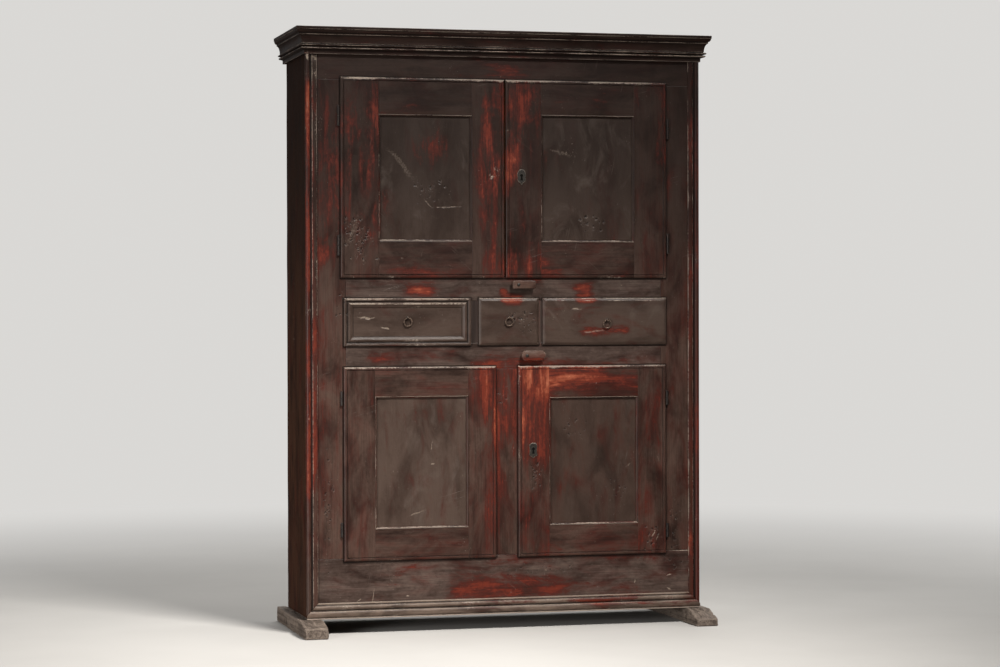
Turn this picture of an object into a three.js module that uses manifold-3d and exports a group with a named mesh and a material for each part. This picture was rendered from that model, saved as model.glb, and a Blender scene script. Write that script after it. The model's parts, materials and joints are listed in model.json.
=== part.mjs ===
// A tall painted cupboard: two panelled doors above, three small drawers side by
// side, two panelled doors below, a bold cornice, and a pair of runner feet.
// It is built as a joiner builds it: boards housed into the sides, a mortised face
// frame, frame and panel doors that lip over their openings, and planted mouldings.
//
// Millimetres. X runs across the front to the right, Y runs back into the depth and
// Z runs up. The origin is on the floor, in the middle of the box round the piece.

import * as THREE from 'three';
import { mergeVertices } from 'three/addons/utils/BufferGeometryUtils.js';
import Module from 'manifold-3d';

const wasm = await Module();
wasm.setup();

// Case
const CASE_WIDTH = 1310;
const CASE_DEPTH = 386;
const SIDE_THICKNESS = 24;
const BOARD_THICKNESS = 20;
const BACK_THICKNESS = 14;
const BACK_REBATE = 12;
const BACK_LAP = 14;
const HOUSING_DEPTH = 8;

// Runner feet
const FOOT_SEAT_HEIGHT = 50;
const FOOT_WIDTH = 76;
const FOOT_OUTSIDE_CASE = 35;
const FOOT_FRONT_REACH = 123;
const FOOT_BACK_REACH = 24;
const FOOT_NOSE_HEIGHT = 35;
const FOOT_BEVEL_LENGTH = 86;
const FOOT_NOSE_ROUND = 6;

// Face frame, from the foot up
const FRAME_THICKNESS = 22;
const STILE_WIDTH = 123;
const BOTTOM_RAIL_HEIGHT = 192;
const LOWER_OPENING_HEIGHT = 609;
const LOWER_RAIL_HEIGHT = 84;
const DRAWER_OPENING_HEIGHT = 138;
const UPPER_RAIL_HEIGHT = 82;
const UPPER_OPENING_HEIGHT = 630;
const TOP_RAIL_HEIGHT = 150;
const MUNTIN_WIDTH = 91;
const MUNTIN_OFFSET = 2.5;
const TENON_THICKNESS = 8;
const TENON_LENGTH = 45;
const TENON_SHOULDER = 14;

// Doors
const LIP_PROUD = 9;
const DOOR_CORE_DEPTH = 14;
const UPPER_HINGE_LIP = 18;
const LOWER_LEFT_HINGE_LIP = 9;
const LOWER_RIGHT_HINGE_LIP = 15;
const LIP = 8.5;
const UPPER_MEETING_OFFSET = -3;
const UPPER_MEETING_GAP = 4;
const CORE_CLEARANCE = 2;
const PANEL_THICKNESS = 8;
const PANEL_RECESS = 8;
const PANEL_GROOVE = 9;
const STICKING_WIDTH = 7;
const STICKING_FILLET = 1.2;
const NOSE_RADIUS = 5;
const QUIRK_INSET = 11;
const QUIRK_WIDTH = 3;
const QUIRK_DEPTH = 1.6;

// Door frame members: the widths that show, up to the panel
const UPPER_LEFT_HINGE_STILE = 132;
const UPPER_LEFT_CLOSING_STILE = 116;
const UPPER_LEFT_TOP_RAIL = 125;
const UPPER_LEFT_BOTTOM_RAIL = 126;
const UPPER_RIGHT_HINGE_STILE = 119;
const UPPER_RIGHT_CLOSING_STILE = 127;
const UPPER_RIGHT_TOP_RAIL = 119;
const UPPER_RIGHT_BOTTOM_RAIL = 125;
const LOWER_LEFT_HINGE_STILE = 109;
const LOWER_LEFT_CLOSING_STILE = 101;
const LOWER_LEFT_TOP_RAIL = 102;
const LOWER_LEFT_BOTTOM_RAIL = 109;
const LOWER_RIGHT_HINGE_STILE = 104;
const LOWER_RIGHT_CLOSING_STILE = 112;
const LOWER_RIGHT_TOP_RAIL = 110;
const LOWER_RIGHT_BOTTOM_RAIL = 109;

// Hinges: a leaf let into the stile carries the lower knuckle and the pin
const KNUCKLE_RADIUS = 4.5;
const HINGE_PIN_RADIUS = 2;
const HINGE_AXIS_OUT = 5.5;
const HINGE_LEAF_THICKNESS = 2;
const HINGE_LEAF_REACH = 8;
const UPPER_HINGE_LENGTH = 62;
const LOWER_HINGE_LENGTH = 42;
const UPPER_LEFT_HINGE_DROP = 127;
const UPPER_LEFT_HINGE_RISE = 103;
const UPPER_RIGHT_HINGE_DROP = 154;
const UPPER_RIGHT_HINGE_RISE = 112;
const LOWER_LEFT_HINGE_DROP = 103;
const LOWER_LEFT_HINGE_RISE = 100;
const LOWER_RIGHT_HINGE_DROP = 112;
const LOWER_RIGHT_HINGE_RISE = 74;

// Locks and keyholes on the right-hand doors
const UPPER_KEYHOLE_INSET = 53;
const UPPER_KEYHOLE_RISE = 335;
const LOWER_KEYHOLE_INSET = 50;
const LOWER_KEYHOLE_RISE = 354;
const KEYHOLE_RADIUS = 4;
const KEYHOLE_SLOT_WIDTH = 4;
const KEYHOLE_SLOT_DROP = 14;
const ESCUTCHEON_WIDTH = 30;
const ESCUTCHEON_HEIGHT = 52;
const ESCUTCHEON_THICKNESS = 1.5;
const LOCK_WIDTH = 84;
const LOCK_HEIGHT = 70;
const LOCK_DEPTH = 18;
const LOCK_EDGE_INSET = 3;
const BOLT_HEIGHT = 14;
const BOLT_THICKNESS = 5;
const BOLT_LENGTH = 58;
const UPPER_BOLT_SETBACK = 2.5;
const LOWER_BOLT_SETBACK = 8.5;

// Drawers
const LEFT_POST_WIDTH = 43;
const LEFT_POST_OFFSET = -105.5;
const RIGHT_POST_WIDTH = 30;
const RIGHT_POST_OFFSET = 117;
const PARTITION_THICKNESS = 20;
const LEFT_DRAWER_OUTER_LIP = 8;
const RIGHT_DRAWER_OUTER_LIP = 17;
const DRAWER_LIP = 8.5;
const DRAWER_CORE_DEPTH = 13;
const DRAWER_CLEARANCE = 1.5;
const DRAWER_BACK_GAP = 41;
const DRAWER_HEADROOM = 16;
const DRAWER_SIDE_THICKNESS = 12;
const DRAWER_BOTTOM_THICKNESS = 9;
const DRAWER_BEVEL_WIDTH = 9;
const DRAWER_BEVEL_DEPTH = 4;
const DRAWER_FIELD_DEPTH = 4.5;
const DRAWER_FRAME_WIDTH = 31;
const GUIDE_WIDTH = 22;
const GUIDE_HEIGHT = 18;

// Ring pulls and their staples
const RING_RADIUS = 13;
const RING_WIRE_RADIUS = 2;
const STAPLE_WIRE_RADIUS = 1.4;
const STAPLE_SLACK = 0.45;
const STAPLE_SHANK_RADIUS = 1.8;
const STAPLE_CLINCH_LENGTH = 9;
const RIGHT_RING_OFFSET = 6;
const RIGHT_RING_DROP = 9;

// Turn buttons
const UPPER_BUTTON_LENGTH = 78;
const UPPER_BUTTON_WIDTH = 27;
const UPPER_BUTTON_THICKNESS = 13;
const UPPER_BUTTON_PIVOT = 19;
const UPPER_BUTTON_OFFSET = 38;
const UPPER_BUTTON_BELOW_OPENING = 30;
const LOWER_BUTTON_LENGTH = 81;
const LOWER_BUTTON_WIDTH = 34;
const LOWER_BUTTON_THICKNESS = 12;
const LOWER_BUTTON_PIVOT = 17;
const LOWER_BUTTON_OFFSET = 66;
const LOWER_BUTTON_ABOVE_OPENING = 42;
const BUTTON_CHAMFER = 2.5;
const BUTTON_NAIL_RADIUS = 2.6;
const BUTTON_NAIL_HEAD_RADIUS = 5;
const BUTTON_NAIL_HEAD_THICKNESS = 2.4;
const BUTTON_BOSS_RADIUS = 9;

// Inside shelf
const SHELF_RISE = 347;
const SHELF_SETBACK = 60;

// Mouldings
const CORNICE_HEIGHT = 85;
const CORNICE_PROJECTION = 42.5;
const CORNICE_ABOVE_TOP = 15;
const CORNER_WIDTH = 38;
const CORNER_OVERHANG = 9;
const CORNER_PROUD = 12;
const BASE_HEIGHT = 52;
const BASE_PROUD = 15;

// Fits
const FIT = 0.3;
const PIN_FIT = 0.4;
const OVERRUN = 1;

// Counts of facets
const ARC_STEPS = 5;
const KNUCKLE_SIDES = 16;
const WIRE_SIDES = 8;
const RING_STEPS = 28;
const EYE_STEPS = 16;

// Levels and planes that the pieces share
const HALF = CASE_WIDTH / 2;
const FACE = (FOOT_FRONT_REACH - CASE_DEPTH - FOOT_BACK_REACH) / 2;
const FRAME_BACK = FACE + FRAME_THICKNESS;
const CASE_BACK = FACE + CASE_DEPTH;
const BACK_FRONT = CASE_BACK - BACK_THICKNESS;
const INNER = HALF - SIDE_THICKNESS;
const OPENING_HALF = HALF - STILE_WIDTH;
const CASE_BOTTOM = FOOT_SEAT_HEIGHT + FIT;
const LOWER_OPENING_BOTTOM = FOOT_SEAT_HEIGHT + BOTTOM_RAIL_HEIGHT;
const LOWER_OPENING_TOP = LOWER_OPENING_BOTTOM + LOWER_OPENING_HEIGHT;
const DRAWER_BOTTOM = LOWER_OPENING_TOP + LOWER_RAIL_HEIGHT;
const DRAWER_TOP = DRAWER_BOTTOM + DRAWER_OPENING_HEIGHT;
const UPPER_OPENING_BOTTOM = DRAWER_TOP + UPPER_RAIL_HEIGHT;
const UPPER_OPENING_TOP = UPPER_OPENING_BOTTOM + UPPER_OPENING_HEIGHT;
const CASE_TOP = UPPER_OPENING_TOP + TOP_RAIL_HEIGHT;
const SIDE_TOP = CASE_TOP - BOARD_THICKNESS;
const CORNICE_TOP = CASE_TOP + CORNICE_ABOVE_TOP;
const CORNICE_BOTTOM = CORNICE_TOP - CORNICE_HEIGHT;
const BASE_TOP = FOOT_SEAT_HEIGHT + BASE_HEIGHT;
const DOOR_FRONT = FACE - LIP_PROUD;
const DOOR_BACK = FACE + DOOR_CORE_DEPTH;
const SHELF_BOTTOM = DRAWER_TOP + BOARD_THICKNESS + SHELF_RISE;

// Finishes
const PAINT = { color: 0x2a1815, roughness: 0.55, metalness: 0 };
const RED_PAINT = { color: 0x4a1d14, roughness: 0.55, metalness: 0 };
const PANEL_PAINT = { color: 0x2f201c, roughness: 0.5, metalness: 0 };
const BARE_WOOD = { color: 0x6b5a48, roughness: 0.8, metalness: 0 };
const INSIDE_WOOD = { color: 0x7a5c3e, roughness: 0.8, metalness: 0 };
const IRON = { color: 0x2b2725, roughness: 0.5, metalness: 0.8 };

// Solids

function closedGeometry(positions, triangles) {
  const geometry = new THREE.BufferGeometry();
  geometry.setAttribute('position', new THREE.Float32BufferAttribute(positions.flat(), 3));
  let volume = 0;
  for (const [a, b, c] of triangles) {
    const [p, q, r] = [a, b, c].map((i) => new THREE.Vector3(...positions[i]));
    volume += p.dot(q.cross(r));
  }
  const outward = volume > 0 ? triangles : triangles.map(([a, b, c]) => [a, c, b]);
  geometry.setIndex(outward.flat());
  return geometry;
}

function solid(geometry) {
  const bare = geometry.clone();
  bare.deleteAttribute('normal');
  bare.deleteAttribute('uv');
  const merged = mergeVertices(bare);
  const vertProperties = new Float32Array(merged.attributes.position.array);
  const triVerts = new Uint32Array(merged.index.array);
  return new wasm.Manifold(new wasm.Mesh({ numProp: 3, vertProperties, triVerts }));
}

function block(x0, x1, y0, y1, z0, z1) {
  const geometry = new THREE.BoxGeometry(x1 - x0, y1 - y0, z1 - z0);
  geometry.translate((x0 + x1) / 2, (y0 + y1) / 2, (z0 + z1) / 2);
  return solid(geometry);
}

// An outline of [across, up] points pushed straight through from one plane to another.
// Seen along 'y' the outline is [x, z], along 'x' it is [y, z], along 'z' it is [x, y].
function prism(outline, axis, from, to, holes = []) {
  const toPath = (points) => points.map(([u, v]) => new THREE.Vector2(u, v));
  const shape = new THREE.Shape(toPath(outline));
  for (const hole of holes) shape.holes.push(new THREE.Path(toPath(hole)));
  const geometry = new THREE.ExtrudeGeometry(shape, { depth: to - from, bevelEnabled: false });
  const X = new THREE.Vector3(1, 0, 0);
  const Y = new THREE.Vector3(0, 1, 0);
  const Z = new THREE.Vector3(0, 0, 1);
  const turn = new THREE.Matrix4();
  if (axis === 'x') turn.makeBasis(Y, Z, X).setPosition(from, 0, 0);
  if (axis === 'y') turn.makeBasis(X, Z, Y.negate()).setPosition(0, to, 0);
  if (axis === 'z') turn.makeBasis(X, Y, Z).setPosition(0, 0, from);
  geometry.applyMatrix4(turn);
  return solid(geometry);
}

function upright(at, z0, z1, radius) {
  const geometry = new THREE.CylinderGeometry(radius, radius, z1 - z0, KNUCKLE_SIDES);
  geometry.rotateX(Math.PI / 2);
  geometry.translate(at.x, at.y, (z0 + z1) / 2);
  return solid(geometry);
}

function crosswise(at, y0, y1, radius, sides = KNUCKLE_SIDES) {
  const geometry = new THREE.CylinderGeometry(radius, radius, y1 - y0, sides);
  geometry.translate(at.x, (y0 + y1) / 2, at.z);
  return solid(geometry);
}

// A section carried round the inside of a rectangle and mitred at its corners.
// Section points are [inset from the rectangle's edge, y].
function mitredLoop(section, rect) {
  const corners = [[-1, -1], [1, -1], [1, 1], [-1, 1]];
  const positions = [];
  for (const [sideX, sideZ] of corners) {
    for (const [inset, y] of section) {
      const x = sideX < 0 ? rect.left + inset : rect.right - inset;
      const z = sideZ < 0 ? rect.bottom + inset : rect.top - inset;
      positions.push([x, y, z]);
    }
  }
  return solid(closedGeometry(positions, skin(section.length, corners.length, true)));
}

// Triangles between rings of equal length, closed on itself or open at the ends.
function skin(ringLength, ringCount, closed) {
  const triangles = [];
  const spans = closed ? ringCount : ringCount - 1;
  for (let ring = 0; ring < spans; ring += 1) {
    for (let i = 0; i < ringLength; i += 1) {
      const a = ring * ringLength + i;
      const b = ring * ringLength + (i + 1) % ringLength;
      const next = ((ring + 1) % ringCount) * ringLength;
      const c = next + (i + 1) % ringLength;
      const d = next + i;
      triangles.push([a, b, c], [a, c, d]);
    }
  }
  return triangles;
}

// A skin over rings of points, closed by a flat cap at each end. The caps follow the
// ring's own outline, flattened.
function cappedSkin(rings, flatRing) {
  const flat = flatRing.map(([u, v]) => new THREE.Vector2(u, v));
  const clockwise = THREE.ShapeUtils.area(flat) < 0;
  const last = (rings.length - 1) * flat.length;
  const triangles = skin(flat.length, rings.length, false);
  for (const [a, b, c] of THREE.ShapeUtils.triangulateShape(flat, [])) {
    const [p, q] = clockwise ? [c, b] : [b, c];
    triangles.push([a, q, p], [last + a, last + p, last + q]);
  }
  return solid(closedGeometry(rings.flat(), triangles));
}

// A section of [out, z] points run round the left side, the front and the right side,
// mitred at the two front corners and cut square at the back.
function mitredRun(section, half, front, back) {
  const stations = [
    (out) => [-half - out, back],
    (out) => [-half - out, front - out],
    (out) => [half + out, front - out],
    (out) => [half + out, back],
  ];
  const rings = stations.map((station) => section.map(([out, z]) => [...station(out), z]));
  return cappedSkin(rings, section);
}

function torus(axis, x, y, z, radius, wire, steps) {
  const geometry = new THREE.TorusGeometry(radius, wire, WIRE_SIDES, steps);
  if (axis === 'y') geometry.rotateX(Math.PI / 2);
  if (axis === 'x') geometry.rotateY(Math.PI / 2);
  geometry.translate(x, y, z);
  return solid(geometry);
}

// Points of a quarter or half round, from one angle to another in degrees.
function arc(centreU, centreV, radiusU, radiusV, fromDeg, toDeg, steps = ARC_STEPS) {
  const points = [];
  for (let i = 0; i <= steps; i += 1) {
    const angle = THREE.MathUtils.degToRad(fromDeg + (toDeg - fromDeg) * i / steps);
    points.push([centreU + radiusU * Math.cos(angle), centreV + radiusV * Math.sin(angle)]);
  }
  return points;
}

function rectPoints(rect) {
  return [
    [rect.left, rect.bottom], [rect.right, rect.bottom],
    [rect.right, rect.top], [rect.left, rect.top],
  ];
}

function grow(rect, by) {
  return {
    left: rect.left - by, right: rect.right + by,
    bottom: rect.bottom - by, top: rect.top + by,
  };
}

function slab(rect, y0, y1, hole = null) {
  return prism(rectPoints(rect), 'y', y0, y1, hole ? [rectPoints(hole)] : []);
}

const cupboard = new THREE.Group();

function place(name, shape, finish) {
  const mesh = shape.getMesh();
  const geometry = new THREE.BufferGeometry();
  geometry.setAttribute('position', new THREE.Float32BufferAttribute(mesh.vertProperties, 3));
  geometry.setIndex(Array.from(mesh.triVerts));
  geometry.computeVertexNormals();
  const piece = new THREE.Mesh(geometry, new THREE.MeshStandardMaterial(finish));
  piece.name = name;
  cupboard.add(piece);
}

// Case: feet, sides, boards and back

const horizontalBoards = [
  { name: 'bottom_board', bottom: LOWER_OPENING_BOTTOM - BOARD_THICKNESS, front: FRAME_BACK + FIT },
  { name: 'drawer_floor', bottom: DRAWER_BOTTOM - BOARD_THICKNESS, front: FRAME_BACK + FIT },
  { name: 'upper_floor', bottom: DRAWER_TOP, front: FRAME_BACK + FIT },
  { name: 'upper_shelf', bottom: SHELF_BOTTOM, front: FACE + SHELF_SETBACK },
];

// The runner is bevelled in front of the case down to a blunt, rounded nose.
function makeFoot(name, side) {
  const noseY = FACE - FOOT_FRONT_REACH;
  const tailY = CASE_BACK + FOOT_BACK_REACH;
  const round = arc(noseY + FOOT_NOSE_ROUND, FOOT_NOSE_HEIGHT - FOOT_NOSE_ROUND,
    FOOT_NOSE_ROUND, FOOT_NOSE_ROUND, 180, 120, 3);
  const outline = [
    [tailY, 0], [tailY, FOOT_SEAT_HEIGHT], [noseY + FOOT_BEVEL_LENGTH, FOOT_SEAT_HEIGHT],
    ...round.reverse(), [noseY, 0],
  ];
  const outer = HALF + FOOT_OUTSIDE_CASE;
  const across = side < 0 ? [-outer, FOOT_WIDTH - outer] : [outer - FOOT_WIDTH, outer];
  place(name, prism(outline, 'x', ...across), BARE_WOOD);
}

// Each side is housed for the boards and rebated at the back for the back boards.
function makeSide(name, side) {
  const [x0, x1] = side < 0 ? [-HALF, -INNER] : [INNER, HALF];
  let board = block(x0, x1, FRAME_BACK + FIT, CASE_BACK, CASE_BOTTOM, SIDE_TOP);
  const inward = (depth) => (side < 0 ? [x1 - depth, x1 + OVERRUN] : [x0 - OVERRUN, x0 + depth]);
  for (const shelf of horizontalBoards) {
    const low = shelf.bottom - FIT;
    const high = shelf.bottom + BOARD_THICKNESS + FIT;
    board = board.subtract(block(...inward(HOUSING_DEPTH), shelf.front - FIT, BACK_FRONT + FIT, low, high));
  }
  board = board.subtract(block(...inward(BACK_REBATE), BACK_FRONT - FIT, CASE_BACK + OVERRUN,
    CASE_BOTTOM - OVERRUN, SIDE_TOP + OVERRUN));
  place(name, board, RED_PAINT);
}

function makeBoards() {
  const reach = INNER + HOUSING_DEPTH - FIT;
  for (const board of horizontalBoards) {
    const top = board.bottom + BOARD_THICKNESS;
    let shape = block(-reach, reach, board.front, BACK_FRONT - FIT, board.bottom, top);
    if (board.name === 'drawer_floor') {
      for (const side of [-1, 1]) shape = shape.add(drawerGuide(side));
    }
    place(board.name, shape, INSIDE_WOOD);
  }
  const topBoard = block(-HALF, HALF, FRAME_BACK + FIT, CASE_BACK, SIDE_TOP + FIT, CASE_TOP);
  place('top_board', topBoard, INSIDE_WOOD);
}

// A strip on the drawer floor that keeps an outer drawer straight.
function drawerGuide(side) {
  const near = OPENING_HALF;
  const far = OPENING_HALF + GUIDE_WIDTH;
  const [x0, x1] = side < 0 ? [-far, -near] : [near, far];
  const low = DRAWER_BOTTOM - BOARD_THICKNESS / 2;
  return block(x0, x1, FRAME_BACK + FIT, BACK_FRONT - FIT, low, DRAWER_BOTTOM + GUIDE_HEIGHT);
}

// Two wide boards, half lapped where they meet.
function makeBack() {
  const reach = INNER + BACK_REBATE - FIT;
  const middle = BACK_FRONT + BACK_THICKNESS / 2;
  const halfLap = BACK_LAP / 2;
  const left = [
    [-reach, BACK_FRONT], [halfLap, BACK_FRONT], [halfLap, middle - FIT / 2],
    [-halfLap, middle - FIT / 2], [-halfLap, CASE_BACK], [-reach, CASE_BACK],
  ];
  const right = [
    [reach, CASE_BACK], [-halfLap + FIT, CASE_BACK], [-halfLap + FIT, middle + FIT / 2],
    [halfLap + FIT, middle + FIT / 2], [halfLap + FIT, BACK_FRONT], [reach, BACK_FRONT],
  ];
  place('back_board_left', prism(left, 'z', CASE_BOTTOM, SIDE_TOP), INSIDE_WOOD);
  place('back_board_right', prism(right, 'z', CASE_BOTTOM, SIDE_TOP), INSIDE_WOOD);
}

// Face frame

const tenonFront = FACE + (FRAME_THICKNESS - TENON_THICKNESS) / 2;

function tenon(x0, x1, z0, z1, slack = 0) {
  return block(x0 - slack, x1 + slack, tenonFront - slack, tenonFront + TENON_THICKNESS + slack,
    z0 - slack, z1 + slack);
}

// Tenons of an upright member, into the rail above or below it.
function uprightTenon(left, right, level, up, slack = 0) {
  const into = up ? [level - OVERRUN, level + TENON_LENGTH] : [level - TENON_LENGTH, level + OVERRUN];
  return tenon(left + TENON_SHOULDER, right - TENON_SHOULDER, ...into, slack);
}

// Tenons of a rail, into the stile beside it.
function railTenon(side, bottom, top, slack = 0) {
  const near = OPENING_HALF - OVERRUN;
  const far = OPENING_HALF + TENON_LENGTH;
  const across = side < 0 ? [-far, -near] : [near, far];
  return tenon(...across, bottom + TENON_SHOULDER, top - TENON_SHOULDER, slack);
}

const muntin = centred(MUNTIN_OFFSET, MUNTIN_WIDTH);
const middleRails = [
  { name: 'rail_lower_middle', bottom: LOWER_OPENING_TOP, top: DRAWER_BOTTOM },
  { name: 'rail_upper_middle', bottom: DRAWER_TOP, top: UPPER_OPENING_BOTTOM },
];

function stileRange(side) {
  return side < 0 ? [-HALF, -OPENING_HALF] : [OPENING_HALF, HALF];
}

function makeStile(name, side, hinges) {
  const [x0, x1] = stileRange(side);
  const low = LOWER_OPENING_BOTTOM + FIT;
  const high = UPPER_OPENING_TOP - FIT;
  let stile = block(x0, x1, FACE, FRAME_BACK, low, high);
  stile = stile.add(uprightTenon(x0, x1, low, false));
  stile = stile.add(uprightTenon(x0, x1, high, true));
  for (const rail of middleRails) {
    stile = stile.subtract(railTenon(side, rail.bottom + FIT, rail.top - FIT, FIT));
  }
  for (const hinge of hinges) stile = stile.subtract(hingeLeaf(hinge, FIT));
  place(name, stile, PAINT);
}

function makeRails() {
  const low = LOWER_OPENING_BOTTOM;
  const high = UPPER_OPENING_TOP;
  let bottom = block(-HALF, HALF, FACE, FRAME_BACK, CASE_BOTTOM, low);
  let top = block(-HALF, HALF, FACE, FRAME_BACK, high, CASE_TOP);
  for (const side of [-1, 1]) {
    const [x0, x1] = stileRange(side);
    bottom = bottom.subtract(uprightTenon(x0, x1, low + FIT, false, FIT));
    top = top.subtract(uprightTenon(x0, x1, high - FIT, true, FIT));
  }
  bottom = bottom.subtract(uprightTenon(muntin.left, muntin.right, low + FIT, false, FIT));
  place('rail_bottom', bottom, PAINT);
  place('rail_top', top, PAINT);

  for (const rail of middleRails) {
    let shape = block(FIT - OPENING_HALF, OPENING_HALF - FIT, FACE, FRAME_BACK, rail.bottom, rail.top);
    for (const side of [-1, 1]) shape = shape.add(railTenon(side, rail.bottom + FIT, rail.top - FIT));
    if (rail.bottom === LOWER_OPENING_TOP) {
      shape = shape.subtract(uprightTenon(muntin.left, muntin.right, rail.bottom - FIT, true, FIT));
      shape = shape.add(buttonNail(lowerButton));
    } else {
      shape = shape.add(buttonNail(upperButton));
    }
    place(rail.name, shape, PAINT);
  }
}

function makeMuntin() {
  const low = LOWER_OPENING_BOTTOM + FIT;
  const high = LOWER_OPENING_TOP - FIT;
  let shape = block(muntin.left, muntin.right, FACE, FRAME_BACK, low, high);
  shape = shape.add(uprightTenon(muntin.left, muntin.right, low, false));
  shape = shape.add(uprightTenon(muntin.left, muntin.right, high, true));
  place('muntin', shape, PAINT);
}

// Mouldings

// The cornice from the bottom up: a fascia, two beads, a cove, a fillet, an ovolo and
// the top fillet. Shares are of the projection and of the height.
const fasciaShares = { out: 0.3, top: 0.14 };
const beadShares = [
  { low: 0.16, high: 0.25, root: 0.42, nose: 0.62 },
  { low: 0.27, high: 0.36, root: 0.46, nose: 0.68 },
];
const coveShares = { low: 0.38, high: 0.7, root: 0.5, centre: 0.8, sweep: 0.28, endDeg: 96 };
const ovoloShares = { low: 0.76, high: 0.88, root: 0.78, nose: 0.96 };
const topFilletShares = { low: 0.89 };

function corniceSection() {
  const out = (share) => CORNICE_PROJECTION * share;
  const up = (share) => CORNICE_BOTTOM + CORNICE_HEIGHT * share;
  const rise = (from, to) => up(to) - up(from);
  const beads = beadShares.flatMap(({ low, high, root, nose }) => arc(
    out(root), up((low + high) / 2), out(nose - root), rise(low, high) / 2, -90, 90,
  ));
  const cove = coveShares;
  const ovolo = ovoloShares;
  return [
    [FIT, up(0)], [out(fasciaShares.out), up(0)], [out(fasciaShares.out), up(fasciaShares.top)],
    ...beads,
    [out(cove.root), up(cove.low)],
    ...arc(out(cove.centre), up(cove.low), out(cove.sweep), rise(cove.low, cove.high), 180, cove.endDeg),
    [out(ovolo.root), up(cove.high)],
    ...arc(out(ovolo.root), up(ovolo.high), out(ovolo.nose - ovolo.root), rise(ovolo.low, ovolo.high),
      -90, 0),
    [out(1), up(topFilletShares.low)], [out(1), up(1)], [FIT, up(1)],
  ];
}

// The corner moulding from its outer edge inward: a bold bead, a groove and a flat
// inner fillet. Shares are of its width and of how far it stands proud.
const cornerBeadShares = { radius: 0.2, root: 0.35 };
const cornerInnerShares = [[0.42, 0.3], [0.54, 0.3], [0.58, 0.62], [0.94, 0.55], [1, 0.45], [1, 0]];

function cornerSection() {
  const across = (share) => CORNER_WIDTH * share;
  const proud = (share) => FACE - FIT - (CORNER_PROUD - FIT) * share;
  const { radius, root } = cornerBeadShares;
  return [
    [0, proud(0)],
    ...arc(across(radius), proud(root), across(radius), proud(root) - proud(1), 180, 360),
    ...cornerInnerShares.map(([u, v]) => [across(u), proud(v)]),
  ];
}

function makeCorner(name, side) {
  const outer = HALF + CORNER_OVERHANG;
  const outline = cornerSection().map(([inset, y]) => [side * (outer - inset), y]);
  const full = prism(outline, 'z', FOOT_SEAT_HEIGHT + FIT, CORNICE_BOTTOM - FIT);
  place(name, full.subtract(mitreWaste(side, false)), RED_PAINT);
}

// The waste on one side of the mitre where a corner moulding meets the base moulding.
// The mitre runs out and down at 45 degrees from the corner moulding's inner edge.
function mitreWaste(side, above) {
  const inner = HALF + CORNER_OVERHANG - CORNER_WIDTH;
  const reach = CORNER_WIDTH + BASE_HEIGHT;
  const level = BASE_TOP + (above ? -FIT : FIT) / 2;
  const corner = above ? [side * (inner + reach), level + reach] : [side * (inner - reach), level - reach];
  const outline = [[side * (inner - reach), level + reach], [side * (inner + reach), level - reach], corner];
  return prism(outline, 'y', FACE - CORNER_PROUD - BASE_PROUD, FACE + OVERRUN);
}

// The base moulding from the bottom up: a fillet, a big half round, a bead and a top
// fillet. Shares are of its height and of how far it stands proud.
const baseFilletShares = [[0.75, 0], [0.75, 0.06]];
const baseRoundShares = [
  { low: 0.08, high: 0.5, root: 0.6, nose: 1 },
  { low: 0.56, high: 0.84, root: 0.45, nose: 0.85 },
];
const baseTopShares = [[0.35, 0.87], [0.45, 0.92], [0.45, 1], [0, 1]];

function makeBase() {
  const up = (share) => CASE_BOTTOM + (BASE_HEIGHT - FIT) * share;
  const proud = (share) => FACE - FIT - (BASE_PROUD - FIT) * share;
  const rounds = baseRoundShares.flatMap(({ low, high, root, nose }) => arc(
    proud(root), up((low + high) / 2), proud(root) - proud(nose), (up(high) - up(low)) / 2, 270, 90,
  ));
  const points = (shares) => shares.map(([u, v]) => [proud(u), up(v)]);
  const outline = [[proud(0), up(0)], ...points(baseFilletShares), ...rounds, ...points(baseTopShares)];
  const outer = HALF + CORNER_OVERHANG;
  let shape = prism(outline, 'x', -outer, outer);
  for (const side of [-1, 1]) shape = shape.subtract(mitreWaste(side, true));
  place('base_moulding', shape, PAINT);
}

function makeCornice() {
  const shape = mitredRun(corniceSection(), HALF, FACE, CASE_BACK);
  place('cornice', shape, PAINT);
}

// Hinges

function hingeAxis(hinge) {
  return { x: hinge.edge + hinge.side * HINGE_AXIS_OUT, y: FACE - KNUCKLE_RADIUS - FIT };
}

function acrossFrom(hinge, out, inward) {
  const axis = hingeAxis(hinge);
  const ends = [axis.x + hinge.side * out, axis.x - hinge.side * inward];
  return [Math.min(...ends), Math.max(...ends)];
}

function hingeSpan(hinge) {
  return [hinge.centre - hinge.length / 2, hinge.centre + hinge.length / 2];
}

// The leaf lies flush in the stile, under the door's lip.
function hingeLeaf(hinge, slack = 0) {
  const [low, high] = hingeSpan(hinge);
  const [x0, x1] = acrossFrom(hinge, KNUCKLE_RADIUS, HINGE_LEAF_REACH);
  const back = FACE + HINGE_LEAF_THICKNESS;
  return block(x0 - slack, x1 + slack, FACE - slack, back + slack, low - slack, high + slack);
}

function hingeFrameHalf(hinge) {
  const axis = hingeAxis(hinge);
  const [low, high] = hingeSpan(hinge);
  const knuckleTop = hinge.centre - FIT / 2;
  const web = block(...acrossFrom(hinge, KNUCKLE_RADIUS, KNUCKLE_RADIUS), axis.y,
    FACE + HINGE_LEAF_THICKNESS / 2, low, knuckleTop);
  const knuckle = upright(axis, low, knuckleTop, KNUCKLE_RADIUS);
  const pin = upright(axis, hinge.centre - KNUCKLE_RADIUS, high - KNUCKLE_RADIUS, HINGE_PIN_RADIUS);
  return hingeLeaf(hinge).add(web).add(knuckle).add(pin);
}

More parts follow.
